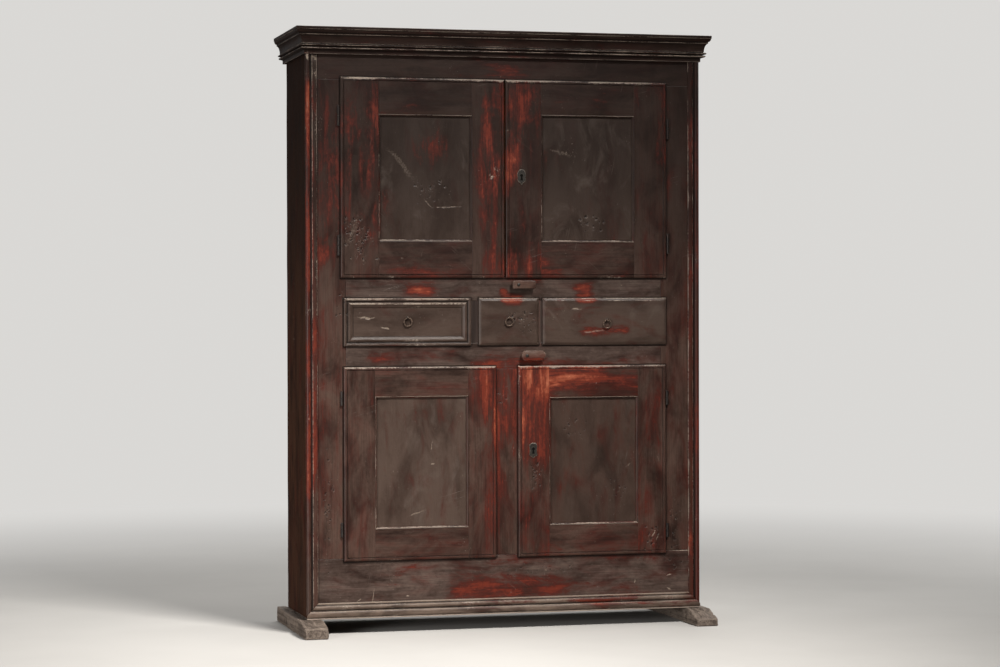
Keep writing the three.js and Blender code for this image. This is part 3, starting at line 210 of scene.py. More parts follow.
# Gouges and scuffs down to pale wood on the front: where each is, its length and width, its
# slope in degrees and how strongly it shows
SCARS = [
    (-0.466, 1.018, 0.052, 0.009, -4, 0.55),
    (-0.402, 0.985, 0.036, 0.007, -8, 0.5),
    (-0.3, 1.052, 0.06, 0.004, 0, 0.3),
    (0.3, 0.972, 0.09, 0.006, 6, 0.4),
    (0.238, 1.046, 0.034, 0.006, -3, 0.55),
    (0.503, 0.3, 0.03, 0.005, 58, 0.6),
    (0.516, 0.288, 0.022, 0.004, 70, 0.5),
    (0.42, 0.53, 0.026, 0.006, 30, 0.3),
    (-0.246, 0.545, 0.016, 0.006, 20, 0.45),
    (-0.25, 0.6, 0.04, 0.003, 82, 0.4),
    (-0.3, 0.385, 0.06, 0.004, 18, 0.35),
    (0.56, 0.162, 0.018, 0.005, 10, 0.6),
    (0.44, 0.143, 0.014, 0.005, 80, 0.6),
    (0.558, 0.115, 0.016, 0.005, -30, 0.6),
    (0.6, RAIL_JOINT - 0.0012, 0.084, 0.0024, 0, 0.8),
    (-0.49, 0.108, 0.022, 0.004, 30, 0.5),
    (-0.445, 0.12, 0.05, 0.003, 82, 0.5),
    (-0.33, 0.118, 0.012, 0.005, 0, 0.6),
    (-0.196, 1.377, 0.104, 0.0035, 3, 0.42),
    (0.19, 1.556, 0.08, 0.012, -18, 0.2),
    # On the upper left door's top lip: a pale scuff that also serves as a painted highlight there
    (-0.49, 1.7893, 0.124, 0.009, 0, 0.62),
    (-0.35, 1.515, 0.15, 0.018, 131, 0.17),
    (-0.262, 1.39, 0.044, 0.004, -48, 0.3),
    (-0.048, 1.474, 0.016, 0.01, 25, 0.44),
    (-0.054, 1.482, 0.012, 0.006, 115, 0.36),
    (-0.043, 1.479, 0.012, 0.005, -20, 0.36),
    (-0.51, 1.3, 0.1, 0.02, 70, 0.14),
    (-0.657, 1.855, 0.024, 0.009, 90, 0.8),
    (-0.643, 1.853, 0.022, 0.007, 90, 0.6),
    (-0.63, 1.852, 0.024, 0.007, 90, 0.6),
    (-0.657, 1.69, 0.022, 0.008, 90, 0.45),
]

# Places full of small dents, with the same values
DENTED_PLACES = [
    (0.285, 1.33, 0.1, 0.07, 0, 1.0),
    (-0.5, 1.27, 0.1, 0.16, 20, 1.0),
    (-0.255, 1.43, 0.1, 0.08, 0, 1.0),
    (0.095, 0.5, 0.06, 0.12, 0, 1.0),
    (0.38, 0.45, 0.08, 0.08, 0, 0.8),
    (0.5, 0.3, 0.07, 0.1, 0, 1.0),
    (0.05, 1.01, 0.14, 0.09, 0, 0.8),
    (-0.01, 0.77, 0.05, 0.07, 0, 0.8),
    (0.23, 0.65, 0.1, 0.09, 0, 0.6),
    (-0.54, 1.06, 0.05, 0.14, 0, 0.7),
    (0.58, 0.3, 0.07, 0.3, 0, 0.6),
    (-0.59, 0.4, 0.05, 0.4, 0, 0.6),
    (0.1, 0.19, 0.3, 0.06, 0, 0.5),
]

# Colours, linear
PAINT_DARK = (0.017, 0.0088, 0.0064)
PAINT_BROWN = (0.068, 0.0405, 0.031)
PANEL_DARK = (0.036, 0.0225, 0.017)
PANEL_GREY = (0.062, 0.0415, 0.0325)
# A darker, redder panel paint for the lower right door: partly its own colour, partly painted shade
RED_SHADED_PANEL_DARK = (0.026, 0.0158, 0.012)
RED_SHADED_PANEL_BROWN = (0.047, 0.029, 0.0222)
SIDE_DARK = (0.013, 0.0066, 0.0042)
SIDE_BROWN = (0.052, 0.0225, 0.013)
WINE = (0.058, 0.0112, 0.0074)
BLOOM = (0.112, 0.09, 0.076)
UNDERCOAT_BRICK = (0.125, 0.019, 0.009)
UNDERCOAT_ORANGE = (0.25, 0.062, 0.03)
UNDERCOAT_SALMON = (0.42, 0.155, 0.09)
RAIL_GREY = (0.095, 0.066, 0.0545)
# Pale worn wood, also used as a painted highlight on edges that face up and on dent rims
WORN_WOOD_AND_HIGHLIGHT = (0.27, 0.22, 0.18)
SCARRED_WOOD = (0.3, 0.24, 0.19)
BASE_DARK = (0.05, 0.033, 0.025)
BASE_LIGHT = (0.15, 0.11, 0.086)
# Dark dirt, also laid on as painted shade towards the top, in grooves, at seams and in dents
GRIME_AND_SHADE = (0.007, 0.0046, 0.0037)
RAW_LIGHT = (0.3, 0.19, 0.105)
RAW_DARK = (0.16, 0.088, 0.045)
FOOT_LIGHT = (0.215, 0.172, 0.14)
FOOT_DARK = (0.048, 0.034, 0.026)
IRON_DARK = (0.022, 0.019, 0.018)
IRON_RUST = (0.075, 0.038, 0.024)
IRON_WORN = (0.23, 0.185, 0.145)
RING_DARK = (0.05, 0.037, 0.029)
RING_BROWN = (0.16, 0.108, 0.08)
PLATE_DARK = (0.009, 0.0075, 0.0056)
PLATE_LIGHT = (0.031, 0.0255, 0.0195)
BUTTON_DARK = (0.05, 0.026, 0.019)
BUTTON_LIGHT = (0.13, 0.085, 0.066)
PALE_NAIL = (0.3, 0.23, 0.2)
PALE_NAIL_DARK = (0.18, 0.125, 0.1)
FLOOR_COLOUR = (0.505, 0.496, 0.48)
BACKGROUND_COLOUR = (0.7, 0.688, 0.668)
BOUNCED_COLOUR = (0.16, 0.145, 0.13)
SURROUND_COLOUR = (0.88, 0.865, 0.85)

# The surround's light, the floor's half width and where the floor fades, the camera with its yaw,
# pitch and roll, and the lamps: name, place, target, size, power, colour and spread in degrees
SURROUND_STRENGTH = 0.18
FLOOR_REACH = 40.0
FADE_FROM = 1.5
FADE_TO = 5.5
CAMERA_PLACE = (-2.1876, -8.4247, 1.0508)
CAMERA_TURN = (-14.67, -0.57, -0.14)
LENS = 94.34
LAMPS = [
    ("key", (0.9, -3.5, 4.5), (-0.6, -0.6, 0.0), (1.3, 0.9), 43, (1.0, 0.96, 0.91), 50),
    ("fill", (-4.0, -3.4, 0.7), (-0.7, 0, 0.5), (1.6, 1.4), 32, (1.0, 0.97, 0.94), 70),
    ("rear", (0.8, 3.8, 4.6), (0, 0.4, 0.9), (3.0, 1.6), 110, (1.0, 0.99, 0.97), 180),
    ("side", (5.2, 0.9, 2.6), (0.6, 0.1, 0.9), (2.0, 2.0), 80, (1.0, 0.99, 0.97), 180),
    ("overhead", (0.0, 1.3, 5.2), (0, 1.1, 0.0), (5.0, 1.6), 60, (1.0, 0.99, 0.97), 180),
]

# Keyhole plates: one side of each from head to foot, as curves with a start, a bend and an end,
# in shares of half the width and height. The upper one has a waist and a pointed foot, the
# lower one an arched head and two points near the foot.
PLATE_SIDE_SHARES = {
    "upper": [((0, 1), (0.6, 0.98), (0.86, 0.6)), ((0.86, 0.6), (1.1, 0.25), (0.84, 0)),
              ((0.84, 0), (1.08, -0.32), (0.72, -0.6)), ((0.72, -0.6), (0.3, -0.7), (0, -1))],
    "lower": [((0, 0.96), (0.8, 0.98), (0.9, 0.52)), ((0.9, 0.52), (0.8, 0.2), (0.8, -0.25)),
              ((0.8, -0.25), (0.84, -0.5), (1.0, -0.62)), ((1.0, -0.62), (0.55, -0.7), (0, -0.98))],
}
LEVELS = ("upper", "lower")

# The place along and across the grain, from x, y and z, for boards that run along each axis
GRAIN_ORDER = {"x": (0, 1, 2), "y": (1, 0, 2), "z": (2, 0, 1)}


# Node materials

class Graph:
    """Builds one node material, a step at a time. Its colour is built up in coats."""

    def __init__(self, name):
        self.material = bpy.data.materials.new(name)
        self.material.use_nodes = True
        self.tree = self.material.node_tree
        self.shader = self.tree.nodes["Principled BSDF"]

    def feed(self, socket, value):
        if isinstance(value, bpy.types.NodeSocket):
            self.tree.links.new(value, socket)
        else:
            socket.default_value = (*value, 1) if socket.type == "RGBA" else value

    def node(self, kind, *given, **settings):
        """A node with its settings, and a value or a link for each of its first inputs."""
        made = self.tree.nodes.new("ShaderNode" + kind)
        for key, value in settings.items():
            setattr(made, key, value)
        for socket, value in zip(made.inputs, given):
            self.feed(socket, value)
        return made

    def math(self, operation, *given):
        return self.node("Math", *given, operation=operation).outputs[0]

    def times(self, a, b):
        return self.math("MULTIPLY", a, b)

    def vector(self, operation, a, b):
        return self.node("VectorMath", a, b, operation=operation).outputs[0]

    def parts(self, vector):
        return self.node("SeparateXYZ", vector).outputs

    def place(self):
        return self.node("TexCoord").outputs["Object"]

    def attribute(self, name):
        return self.node("Attribute", attribute_name=name).outputs["Vector"]

    def step(self, *given):
        """A smooth step: a value, its low and high, and what the result is at each."""
        return self.node("MapRange", *given, interpolation_type="SMOOTHSTEP").outputs[0]

    def mix(self, share, a, b):
        made = self.node("Mix", share, data_type="RGBA")
        self.feed(made.inputs[6], a)
        self.feed(made.inputs[7], b)
        return made.outputs[2]

    def coat(self, paint, share, *steps):
        """Lays a paint over the colour so far, as far as its share or a step of it says."""
        self.colour = self.mix(self.step(share, *steps) if steps else share, self.colour, paint)

    def noise(self, place, scale, detail=4.0, roughness=0.55, distortion=0.0):
        made = self.node("TexNoise", self.vector("MULTIPLY", place, scale))
        for label, value in (("Scale", 1), ("Detail", detail), ("Roughness", roughness),
                             ("Distortion", distortion)):
            made.inputs[label].default_value = value
        return made.outputs[0]

    def blend(self, *shares, add=0.0):
        """The sum of its inputs, each times its share."""
        total = add
        for value, share in shares:
            total = self.math("MULTIPLY_ADD", value, share, total)
        return total

    def scratches(self, place):
        """Fine lines in three directions, each in places of its own."""
        lines = 0.0
        for degrees, apart in ((17, 3.0), (-41, 11.0), (78, 23.0)):
            turned = self.node("Mapping", place, (0, 0, 0), (0, math.radians(degrees), 0)).outputs[0]
            moved = self.vector("ADD", place, (apart, apart, apart))
            where = self.step(self.noise(moved, (5, 5, 5), 3, 0.6), 0.60, 0.70)
            line = self.step(self.noise(turned, (9, 9, 330), 1, 0.4, 0.5), 0.68, 0.75)
            lines = self.math("MAXIMUM", self.times(line, where), lines)
        return lines

    def finish(self, roughness, height, strength, distance, metallic=0.0, specular=0.5):
        """Sets the shader, with a bump of this height."""
        bump = self.node("Bump")
        for socket, value in (("Strength", strength), ("Distance", distance), ("Height", height)):
            self.feed(bump.inputs[socket], value)
        given = {"Base Color": self.colour, "Roughness": roughness, "Normal": bump.outputs[0],
                 "Metallic": metallic, "Specular IOR Level": specular}
        for socket, value in given.items():
            self.feed(self.shader.inputs[socket], value)
        return self.material


def grain_of(graph, axis):
    """The place in the wood: from the piece's own attribute, or along an axis of its object."""
    if axis is None:
        return graph.attribute("grain")
    sources = graph.parts(graph.place())
    return graph.node("CombineXYZ", *[sources[i] for i in GRAIN_ORDER[axis]]).outputs[0]


def painted(name, dark, light, wine=0.0, rub=0.0, bloom=0.0, shine=0.40, streaky=0.30, lines=0.30,
            clouds=0.52, specular=0.18):
    """Old oil paint over a red undercoat, rubbed through where the marks say."""
    g = Graph(name)
    place, flat = grain_of(g, None), g.place()
    wear, arris, hollow = g.parts(g.attribute("marks"))
    board = g.node("ObjectInfo").outputs["Random"]

    fibre = g.noise(place, (9, 330, 330), 5, 0.6, 0.2)
    streak = g.noise(place, (3.6, 36, 36), 4, 0.6, 0.8)
    smear = g.noise(place, (5, 12, 12), 5, 0.58, 0.9)
    blot = g.noise(place, (6, 15, 15), 6, 0.66, 0.8)
    grit = g.noise(place, (70, 120, 120), 4, 0.65)
    speck = g.noise(place, (170, 230, 230), 2, 0.6)

    tone = g.blend((smear, 0.8 - streaky), (streak, streaky), (grit, 0.2), (board, 0.07), add=-0.035)
    g.colour = g.mix(g.step(tone, 0.31, 0.63), dark, light)
    wash = g.blend((blot, 1.0), (wear, 0.35), (streak, 0.3), add=wine - 0.15)
    g.coat(WINE, wash, 0.42, 0.72, 0, 0.62)
    g.coat(GRIME_AND_SHADE, g.blend((smear, -0.7), (blot, 0.9), (grit, 0.3)), 0.24, 0.46, 0, clouds)
    # Painted shade: the paint grows darker towards the top
    g.coat(GRIME_AND_SHADE, g.parts(flat)["Z"], TOP_SHADE_FROM, TOP_SHADE_TO, 0, TOP_SHADE_SHARE)
    if bloom:
        g.coat(BLOOM, g.noise(flat, (8, 8, 5), 5, 0.6, 1.6), 0.53, 0.74, 0, bloom)
    g.coat(GRIME_AND_SHADE, fibre, 0.30, 0.56, 0.4 * lines, 0)

    chance = g.blend((blot, 1.5), (streak, 1.0), (grit, 0.7), add=-1.6)
    ragged = g.times(wear, g.blend((streak, 1.3), (fibre, 0.5), add=-0.9))
    rubbed = g.blend((wear, 0.72), (arris, 0.10), (chance, 0.8), (ragged, 0.8), add=rub)
    g.coat(WINE, rubbed, 0.16, 0.40, 0, 0.88)
    g.coat(UNDERCOAT_BRICK, rubbed, 0.34, 0.58, 0, 0.85)
    g.coat(UNDERCOAT_ORANGE, g.blend((rubbed, 1.0), (smear, 0.6), add=-0.3), 0.60, 0.86, 0, 0.85)
    g.coat(UNDERCOAT_SALMON, g.blend((rubbed, 1.0), (smear, 0.5), add=-0.25), 0.82, 1.10, 0, 0.65)
    g.coat(dark, fibre, 0.34, 0.54, lines, 0)
    through = g.step(rubbed, 0.30, 0.50)

    patchy = g.noise(flat, (12, 12, 12), 3, 0.6)
    # Pale edges: worn through to the wood, and a painted highlight, strongest on lips that face up
    pale = g.blend((arris, 0.50), (speck, 0.8), (patchy, 1.3), (wear, 0.08), add=-1.08)
    g.coat(WORN_WOOD_AND_HIGHLIGHT, pale, 0.34, 0.58, 0, 0.70)
    scratch = g.scratches(flat)
    scarred, pits, rims = g.parts(g.attribute("damage"))
    g.coat(WORN_WOOD_AND_HIGHLIGHT, g.times(scratch, 0.12))
    chipped = g.blend((speck, 1.0), (patchy, 0.4))
    g.coat(WORN_WOOD_AND_HIGHLIGHT, chipped, 0.93, 1.02, 0, 0.40)
    g.coat(GRIME_AND_SHADE, chipped, 0.40, 0.50, 0.50, 0)
    # Painted highlight on one side of each dent's rim
    g.coat(WORN_WOOD_AND_HIGHLIGHT, g.times(rims, g.step(speck, 0.40, 0.70, 0, 0.28)))
    # Dents darkened by dirt and by painted shade in their bowls
    g.coat(GRIME_AND_SHADE, g.times(pits, 0.80))
    scar = g.times(scarred, g.step(g.blend((scarred, 0.5), (speck, 1.0)), 0.42, 0.72))
    g.coat(SCARRED_WOOD, scar)
    # Darker in grooves and at seams: dirt in the grooves, and painted shade there and round the doors and
    # drawers
    g.coat(GRIME_AND_SHADE, g.times(hollow, 0.88))

    roughness = g.blend((grit, 0.24), (smear, 0.20), (through, 0.10), add=shine - 0.20)
    height = g.blend((fibre, 0.30), (grit, 0.40), (smear, 1.2), (through, -0.35), (pits, -0.9),
                     (scratch, -0.5), (scar, -1.2))
    return g.finish(roughness, height, 0.6, 0.0012, specular=specular)


def post_paint():
    """Worn paint for the partitions between the drawers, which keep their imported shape."""
    g = Graph("worn_post_paint")
    place = grain_of(g, "z")
    streak = g.noise(place, (2.6, 46, 46), 4, 0.6, 0.6)
    fibre = g.noise(place, (9, 330, 330), 5, 0.6, 0.2)
    g.colour = g.mix(g.step(streak, 0.36, 0.66), PAINT_DARK, PAINT_BROWN)
    g.coat(GRIME_AND_SHADE, fibre, 0.30, 0.72, 0.30, 0)
    g.coat(UNDERCOAT_BRICK, streak, 0.60, 0.72, 0, 0.7)
    return g.finish(g.blend((streak, 0.2), add=0.36), fibre, 0.4, 0.0008, specular=0.4)


def raw_wood(name, light, dark, axis=None, depth=0.0008):
    """Unpainted wood: growth lines that wander along the board, pores and old dirt."""
    g = Graph(name)
    place = grain_of(g, axis)
    wander = g.noise(place, (1.1, 6, 6), 2, 0.5)
    lines = g.noise(place, (2.2, 85, 85), 5, 0.62, 1.1)
    pores = g.noise(place, (22, 620, 620), 3, 0.6)
    dirt = g.noise(place, (6, 11, 11), 4, 0.6, 0.5)
    g.colour = g.mix(g.step(g.blend((lines, 0.65), (wander, 0.35)), 0.35, 0.65), light, dark)
    g.coat(dark, pores, 0.30, 0.48, 0.50, 0)
    g.coat(tuple(0.35 * v for v in dark), dirt, 0.50, 0.78, 0, 0.60)
    if axis is None:
        _, arris, hollow = g.parts(g.attribute("marks"))
        g.coat(light, g.times(arris, 0.35))
        # Darker in grooves: dirt, and painted shade
        g.coat(GRIME_AND_SHADE, g.times(hollow, 0.70))
    return g.finish(g.blend((lines, 0.18), add=0.63), g.blend((lines, 0.7), (pores, 0.4)), 0.6, depth,
                    specular=0.3)


def forged_iron(name, rust=0.5, dark=IRON_DARK, light=IRON_RUST, metallic=0.75):
    """Hand-forged iron with old paint and dull rust, rubbed bright where its edges are marked."""
    g = Graph(name)
    place = g.place()
    hammer = g.noise(place, (140, 140, 140), 3, 0.5)
    bloom = g.noise(place, (320, 320, 320), 5, 0.7)
    g.colour = g.mix(g.step(bloom, 0.66 - 0.3 * rust, 0.80 - 0.2 * rust), dark, light)
    arris = g.parts(g.attribute("marks"))[1]
    g.coat(IRON_WORN, g.times(arris, g.step(bloom, 0.40, 0.60, 0.1, 0.7)))
    height = g.blend((hammer, 1.0), (bloom, 0.35))
    return g.finish(g.blend((bloom, 0.35), add=0.30), height, 0.5, 0.0010, metallic)


# A near-black sheet that stands for the shade inside a hole
def dark_gap():
    g = Graph("dark_gap")
    dust = g.noise(g.place(), (300, 300, 300), 3)
    g.colour = g.mix(dust, (0.002, 0.0018, 0.0016), (0.005, 0.004, 0.0035))
    return g.finish(0.9, dust, 0.2, 0.0004, specular=0.1)


def studio_floor_paint():
    """A pale floor that keeps the shadow near the cupboard and fades into the background far
    away. It is darker to bounced light, as a real hall is."""
    g = Graph("studio_floor")
    place = g.place()
    cloud = g.noise(place, (1.3, 1.3, 1.3), 4, 0.55)
    away = g.node("VectorMath", place, operation="LENGTH").outputs["Value"]
    far = g.step(away, FADE_FROM, FADE_TO)
    seen = g.node("LightPath").outputs["Is Camera Ray"]
    near = g.mix(g.step(cloud, 0.3, 0.7, 0, 0.6), FLOOR_COLOUR, tuple(0.9 * v for v in FLOOR_COLOUR))
    g.colour = g.mix(seen, BOUNCED_COLOUR, g.mix(far, near, (0, 0, 0)))
    g.feed(g.shader.inputs["Emission Color"], BACKGROUND_COLOUR)
    g.feed(g.shader.inputs["Emission Strength"], g.times(seen, far))
    return g.finish(0.8, cloud, 0.1, 0.002, specular=0.0)


MATERIALS = {
    "dark_paint": painted("worn_dark_paint", PAINT_DARK, PAINT_BROWN),
    "panel_paint": painted("worn_panel_paint", PANEL_DARK, PANEL_GREY, -0.09, -0.06, bloom=0.30,
                           streaky=0.05, lines=0.10, clouds=0.20),
    # Darker, redder copy for the lower right panel: partly its own colour, partly painted shade
    "dark_panel_paint": painted("worn_dark_panel_paint", RED_SHADED_PANEL_DARK, RED_SHADED_PANEL_BROWN, -0.05, -0.06,
                                bloom=0.14, streaky=0.05, lines=0.10, clouds=0.30),
    "rail_paint": painted("worn_rail_paint", PAINT_DARK, RAIL_GREY, -0.03, 0.0, bloom=0.15, clouds=0.40),
    "side_paint": painted("worn_side_paint", SIDE_DARK, SIDE_BROWN, -0.05, shine=0.62, streaky=0.45,
                          specular=0.04),
    "corner_paint": painted("worn_corner_paint", PAINT_DARK, PAINT_BROWN, 0.02),
    "red_paint": painted("worn_red_paint", SIDE_DARK, SIDE_BROWN, 0.08, 0.04, shine=0.42),
    "base_paint": painted("worn_base_paint", BASE_DARK, BASE_LIGHT, -0.12, -0.10),
    "button_paint": painted("worn_button_paint", BUTTON_DARK, BUTTON_LIGHT, -0.02, -0.18),
    "bare_wood": raw_wood("weathered_foot_wood", FOOT_LIGHT, FOOT_DARK, depth=0.0030),
    "inside_wood": raw_wood("raw_board", RAW_LIGHT, RAW_DARK),
    "pale_nail": raw_wood("scarred_wood", PALE_NAIL, PALE_NAIL_DARK),
    "iron": forged_iron("forged_iron"),
    "plate_iron": forged_iron("worn_plate_iron", 0.8, PLATE_DARK, PLATE_LIGHT, metallic=0.2),
    "ring_iron": forged_iron("rubbed_ring_iron", 0.9, RING_DARK, RING_BROWN),
    "dark_gap": dark_gap(),
}


# Marks of use, and painted shade and highlights

def seed_of(name):
    """A fixed offset for each piece, so that no two boards share their grain."""
    value = zlib.crc32(name.encode())
    return np.array([(value >> shift & 255) / 25.0 for shift in (0, 8, 16)])


def ramp(value, low, high):
    return np.clip((value - low) / (high - low), 0, 1)


def smooth(value, low, high):
    t = ramp(value, low, high)
    return t * t * (3 - 2 * t)


def between(value, low, high, soft):
    return smooth(value, low - soft, low + soft) * (1 - smooth(value, high - soft, high + soft))


def wear_at(points):
    """How far the paint is rubbed at each point of the front."""
    x, y, z = points.T
    total = np.zeros(len(points))
    for left, right, bottom, top, depth, soft in WORN_PLACES:
        total = 1 - (1 - total) * (1 - depth * between(x, left, right, soft) * between(z, bottom, top, soft))
    return total * (1 - smooth(y, FACE + 0.012, FACE + 0.05))


def wave(points, name, amount):
    """A gentle unevenness, as a hand plane leaves it."""
    shift = Vector(seed_of(name))
    return np.array([amount * noise.noise(Vector(p) * WAVE_SCALE + shift) for p in points])


def within(x, z, outline):
    """How far each point lies inside the left, right, bottom and top of an outline."""
    left, right, bottom, top = outline
    return np.array([x - left, right - x, z - bottom, top - z])


def facing_share(points, outline):
    """Edge marks by which way a lip faces: those that face up get the most, partly as a painted highlight,
    upright ones the least.
    """
    gaps = within(points[:, 0], points[:, 2], outline)
    return np.array([0.30, 0.26, 0.50, 1.30])[np.argmin(gaps, axis=0)]


def pivot_of(body):
    return next(joint["pos_m"] for joint in frame["joints"] if joint["child"] == body)


def door_outline(body):
    """The lipped front of a door, without the knuckles on its frame."""
    low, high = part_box(f"{body}_frame")
    axis = pivot_of(body)[0]
    if "left" in body:
        return axis + HINGE_AXIS_OUT, high.x, low.z, high.z
    return low.x, axis - HINGE_AXIS_OUT, low.z, high.z


def drawer_outline(side):
    low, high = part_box(f"drawer_{side}_front")
    return low.x, high.x, low.z, high.z


DOORS = ("door_upper_left", "door_upper_right", "door_lower_left", "door_lower_right")
DRAWERS = ("left", "centre", "right")
SEAMS = [*map(door_outline, DOORS), *map(drawer_outline, DRAWERS)]


def seam_lines(axis):
    """Grid lines just outside the doors and drawers, where painted shade darkens the frame."""
    return [end + sign * step * SEAM_WIDTH for outline in SEAMS for step in (0, 0.3, 0.7, 1)
            for end, sign in ((outline[2 * axis], -1), (outline[2 * axis + 1], 1))]


# Painted shade on the frame just outside each door and drawer, fading over the seam width
def seam_grime(points):
    grime = np.zeros(len(points))
    for outline in SEAMS:
        left, right, bottom, top = np.maximum(0, -within(points[:, 0], points[:, 2], outline))
        away = np.hypot(np.maximum(left, right), np.maximum(bottom, top))
        grime = np.maximum(grime, 1 - smooth(away, 0.2 * SEAM_WIDTH, SEAM_WIDTH))
    return grime * (points[:, 1] < FACE + 0.002)


def damage_reach(place):
    """The half sizes of the upright box round a scar or a dented place."""
    length, width, slope = place[2], place[3], math.radians(place[4])
    along, across = abs(math.cos(slope)), abs(math.sin(slope))
    return (0.6 * (length * along + width * across) + FINE_CELL,
            0.6 * (length * across + width * along) + FINE_CELL)


def fine_lines(axis, left, right, bottom, top):
    """Close grid lines where the damaged places of this area need them."""
    lines = []
    for place in SCARS + DENTED_PLACES:
        half = damage_reach(place)
        if left - half[0] < place[0] < right + half[0] and bottom - half[1] < place[1] < top + half[1]:
            lines.extend(np.arange(place[axis] - half[axis], place[axis] + half[axis], FINE_CELL))
    return lines


def dents_of(place):
    """Dents spread at random over a dented place, as x, z, radius and depth."""
    x, z, length, width, slope, strength = place
    chance = np.random.default_rng(zlib.crc32(repr(place).encode()))
    count = max(4, round(DENTS_PER_AREA * length * width * strength))
    u, v = (np.clip(chance.normal(0, 0.24, (count, 2)), -0.5, 0.5) * (length, width)).T
    cosine, sine = math.cos(math.radians(slope)), math.sin(math.radians(slope))
    radius = SMALLEST_DENT + DENT_SPREAD * chance.uniform(0, 1, count) ** 2.2 * strength
    return np.column_stack([u * cosine - v * sine + x, u * sine + v * cosine + z, radius,
                            radius * DENT_STEEPNESS])


def scar_at(x, z, i):
    """How strongly a scar shows at each point, with a bent, ragged outline."""
    cx, cz, length, width, slope, strength = SCARS[i]
    cosine, sine = math.cos(math.radians(slope)), math.sin(math.radians(slope))
    u = ((x - cx) * cosine + (z - cz) * sine) / (length / 2)
    v = ((z - cz) * cosine - (x - cx) * sine) / (width / 2)
    near = np.nonzero((np.abs(u) < 1.3) & (np.abs(v) < 1.9))[0]
    bend = np.array([noise.noise(Vector((1.7 * u[k], 0, 7.3 * i))) for k in near])
    ragged = np.array([noise.noise(Vector((90 * x[k], 260 * z[k], i))) for k in near])
    reach = np.hypot(u[near], v[near] + 0.8 * bend) + 0.5 * ragged
    return near, strength * (1 - smooth(reach, 0.45, 1.15))


def damage_at(points):
    """Scar, dent and rim values of each front point, and how deep each point is pushed in."""
    values, push = np.zeros((len(points), 3)), np.zeros(len(points))
    front = np.nonzero(points[:, 1] < FRONT_LIMIT)[0]
    x, z = points[front, 0], points[front, 2]
    scars, pits, rims, depths = np.zeros((4, len(front)))
    for i in range(len(SCARS)):
        near, found = scar_at(x, z, i)
        scars[near] = np.maximum(scars[near], found)
        depths[near] = np.maximum(depths[near], SCAR_DEPTH * found)
    for place in DENTED_PLACES:
        half = damage_reach(place)
        near = np.nonzero((np.abs(x - place[0]) < half[0]) & (np.abs(z - place[1]) < half[1]))[0]
        for dent_x, dent_z, radius, depth in dents_of(place) if len(near) else ():
            away_x, away_z = x[near] - dent_x, z[near] - dent_z
            turn = np.arctan2(away_z, away_x)
            lobes = 1 + 0.30 * np.sin(2 * turn + 900 * dent_x) + 0.22 * np.sin(3 * turn + 1700 * dent_z)
            reach = np.hypot(away_x, away_z) / radius / lobes
            bowl = 1 - smooth(reach, 0.25, 1.0)
            # A painted highlight on one side of each dent's rim, as if lit from that side
            ring = np.exp(-((reach - 1.15) / 0.3) ** 2) * np.clip(0.5 - np.sin(turn - 0.6), 0, 1)
            for target, found in ((pits, bowl), (rims, ring), (depths, depth * bowl)):
                target[near] = np.maximum(target[near], found)
    values[front] = np.column_stack([scars, pits, rims])
    push[front] = depths
    return values, push


# Mesh making

def add_object(name, data):
    made = bpy.data.objects.new(name, data)
    bpy.context.scene.collection.objects.link(made)
    return made


def add_piece(name, points, faces, material, body, along="z", arris=0, hollow=0, replaces=()):
    """Makes one object with its grain and marks, and hangs it on its body."""
    points = np.array(points, float)
    damage, push = damage_at(points)
    points[:, 1] += push
    points = np.clip(points, CAD_LOW, CAD_HIGH)
    mesh = bpy.data.meshes.new(name)
    mesh.from_pydata(points.tolist(), [], faces)
    mesh.update()
    piece = add_object(name, mesh)
    marks = np.zeros((len(points), 3))
    marks[:, 0], marks[:, 1], marks[:, 2] = wear_at(points), arris, hollow
    grain = points[:, GRAIN_ORDER[along]] + seed_of(name)
    for label, values in (("grain", grain), ("marks", marks), ("damage", damage)):
        attribute = mesh.attributes.new(label, "FLOAT_VECTOR", "POINT")
        attribute.data.foreach_set("vector", values.astype(np.float32).ravel())
    mesh.polygons.foreach_set("use_smooth", [True] * len(mesh.polygons))
    mesh.set_sharp_from_angle(angle=SHARP_ANGLE)
    mesh.materials.append(MATERIALS[material])
    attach(piece, body)
    if replaces:
        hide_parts(*replaces)
    return piece


def lines_between(low, high, fixed, cell=CELL, wanted=()):
    """Grid lines from low to high through the fixed ones, with no gap over one cell. Wanted
    lines are left out where they come close to a fixed one."""
    stops = sorted({round(v, 6) for v in [low, high, *fixed] if low - 1e-9 <= v <= high + 1e-9})
    for line in sorted(wanted):
        if low < line < high and min(abs(line - stop) for stop in stops) > 0.5 * FINE_CELL:
            stops.append(float(line))
    stops = sorted(stops)
    lines = [stops[0]]
    for stop in stops[1:]:
        start, gap = lines[-1], stop - lines[-1]
        if gap >= 1e-5:
            parts = max(1, math.ceil(gap / cell))
            lines.extend(start + gap * i / parts for i in range(1, parts + 1))
    return np.array(lines)


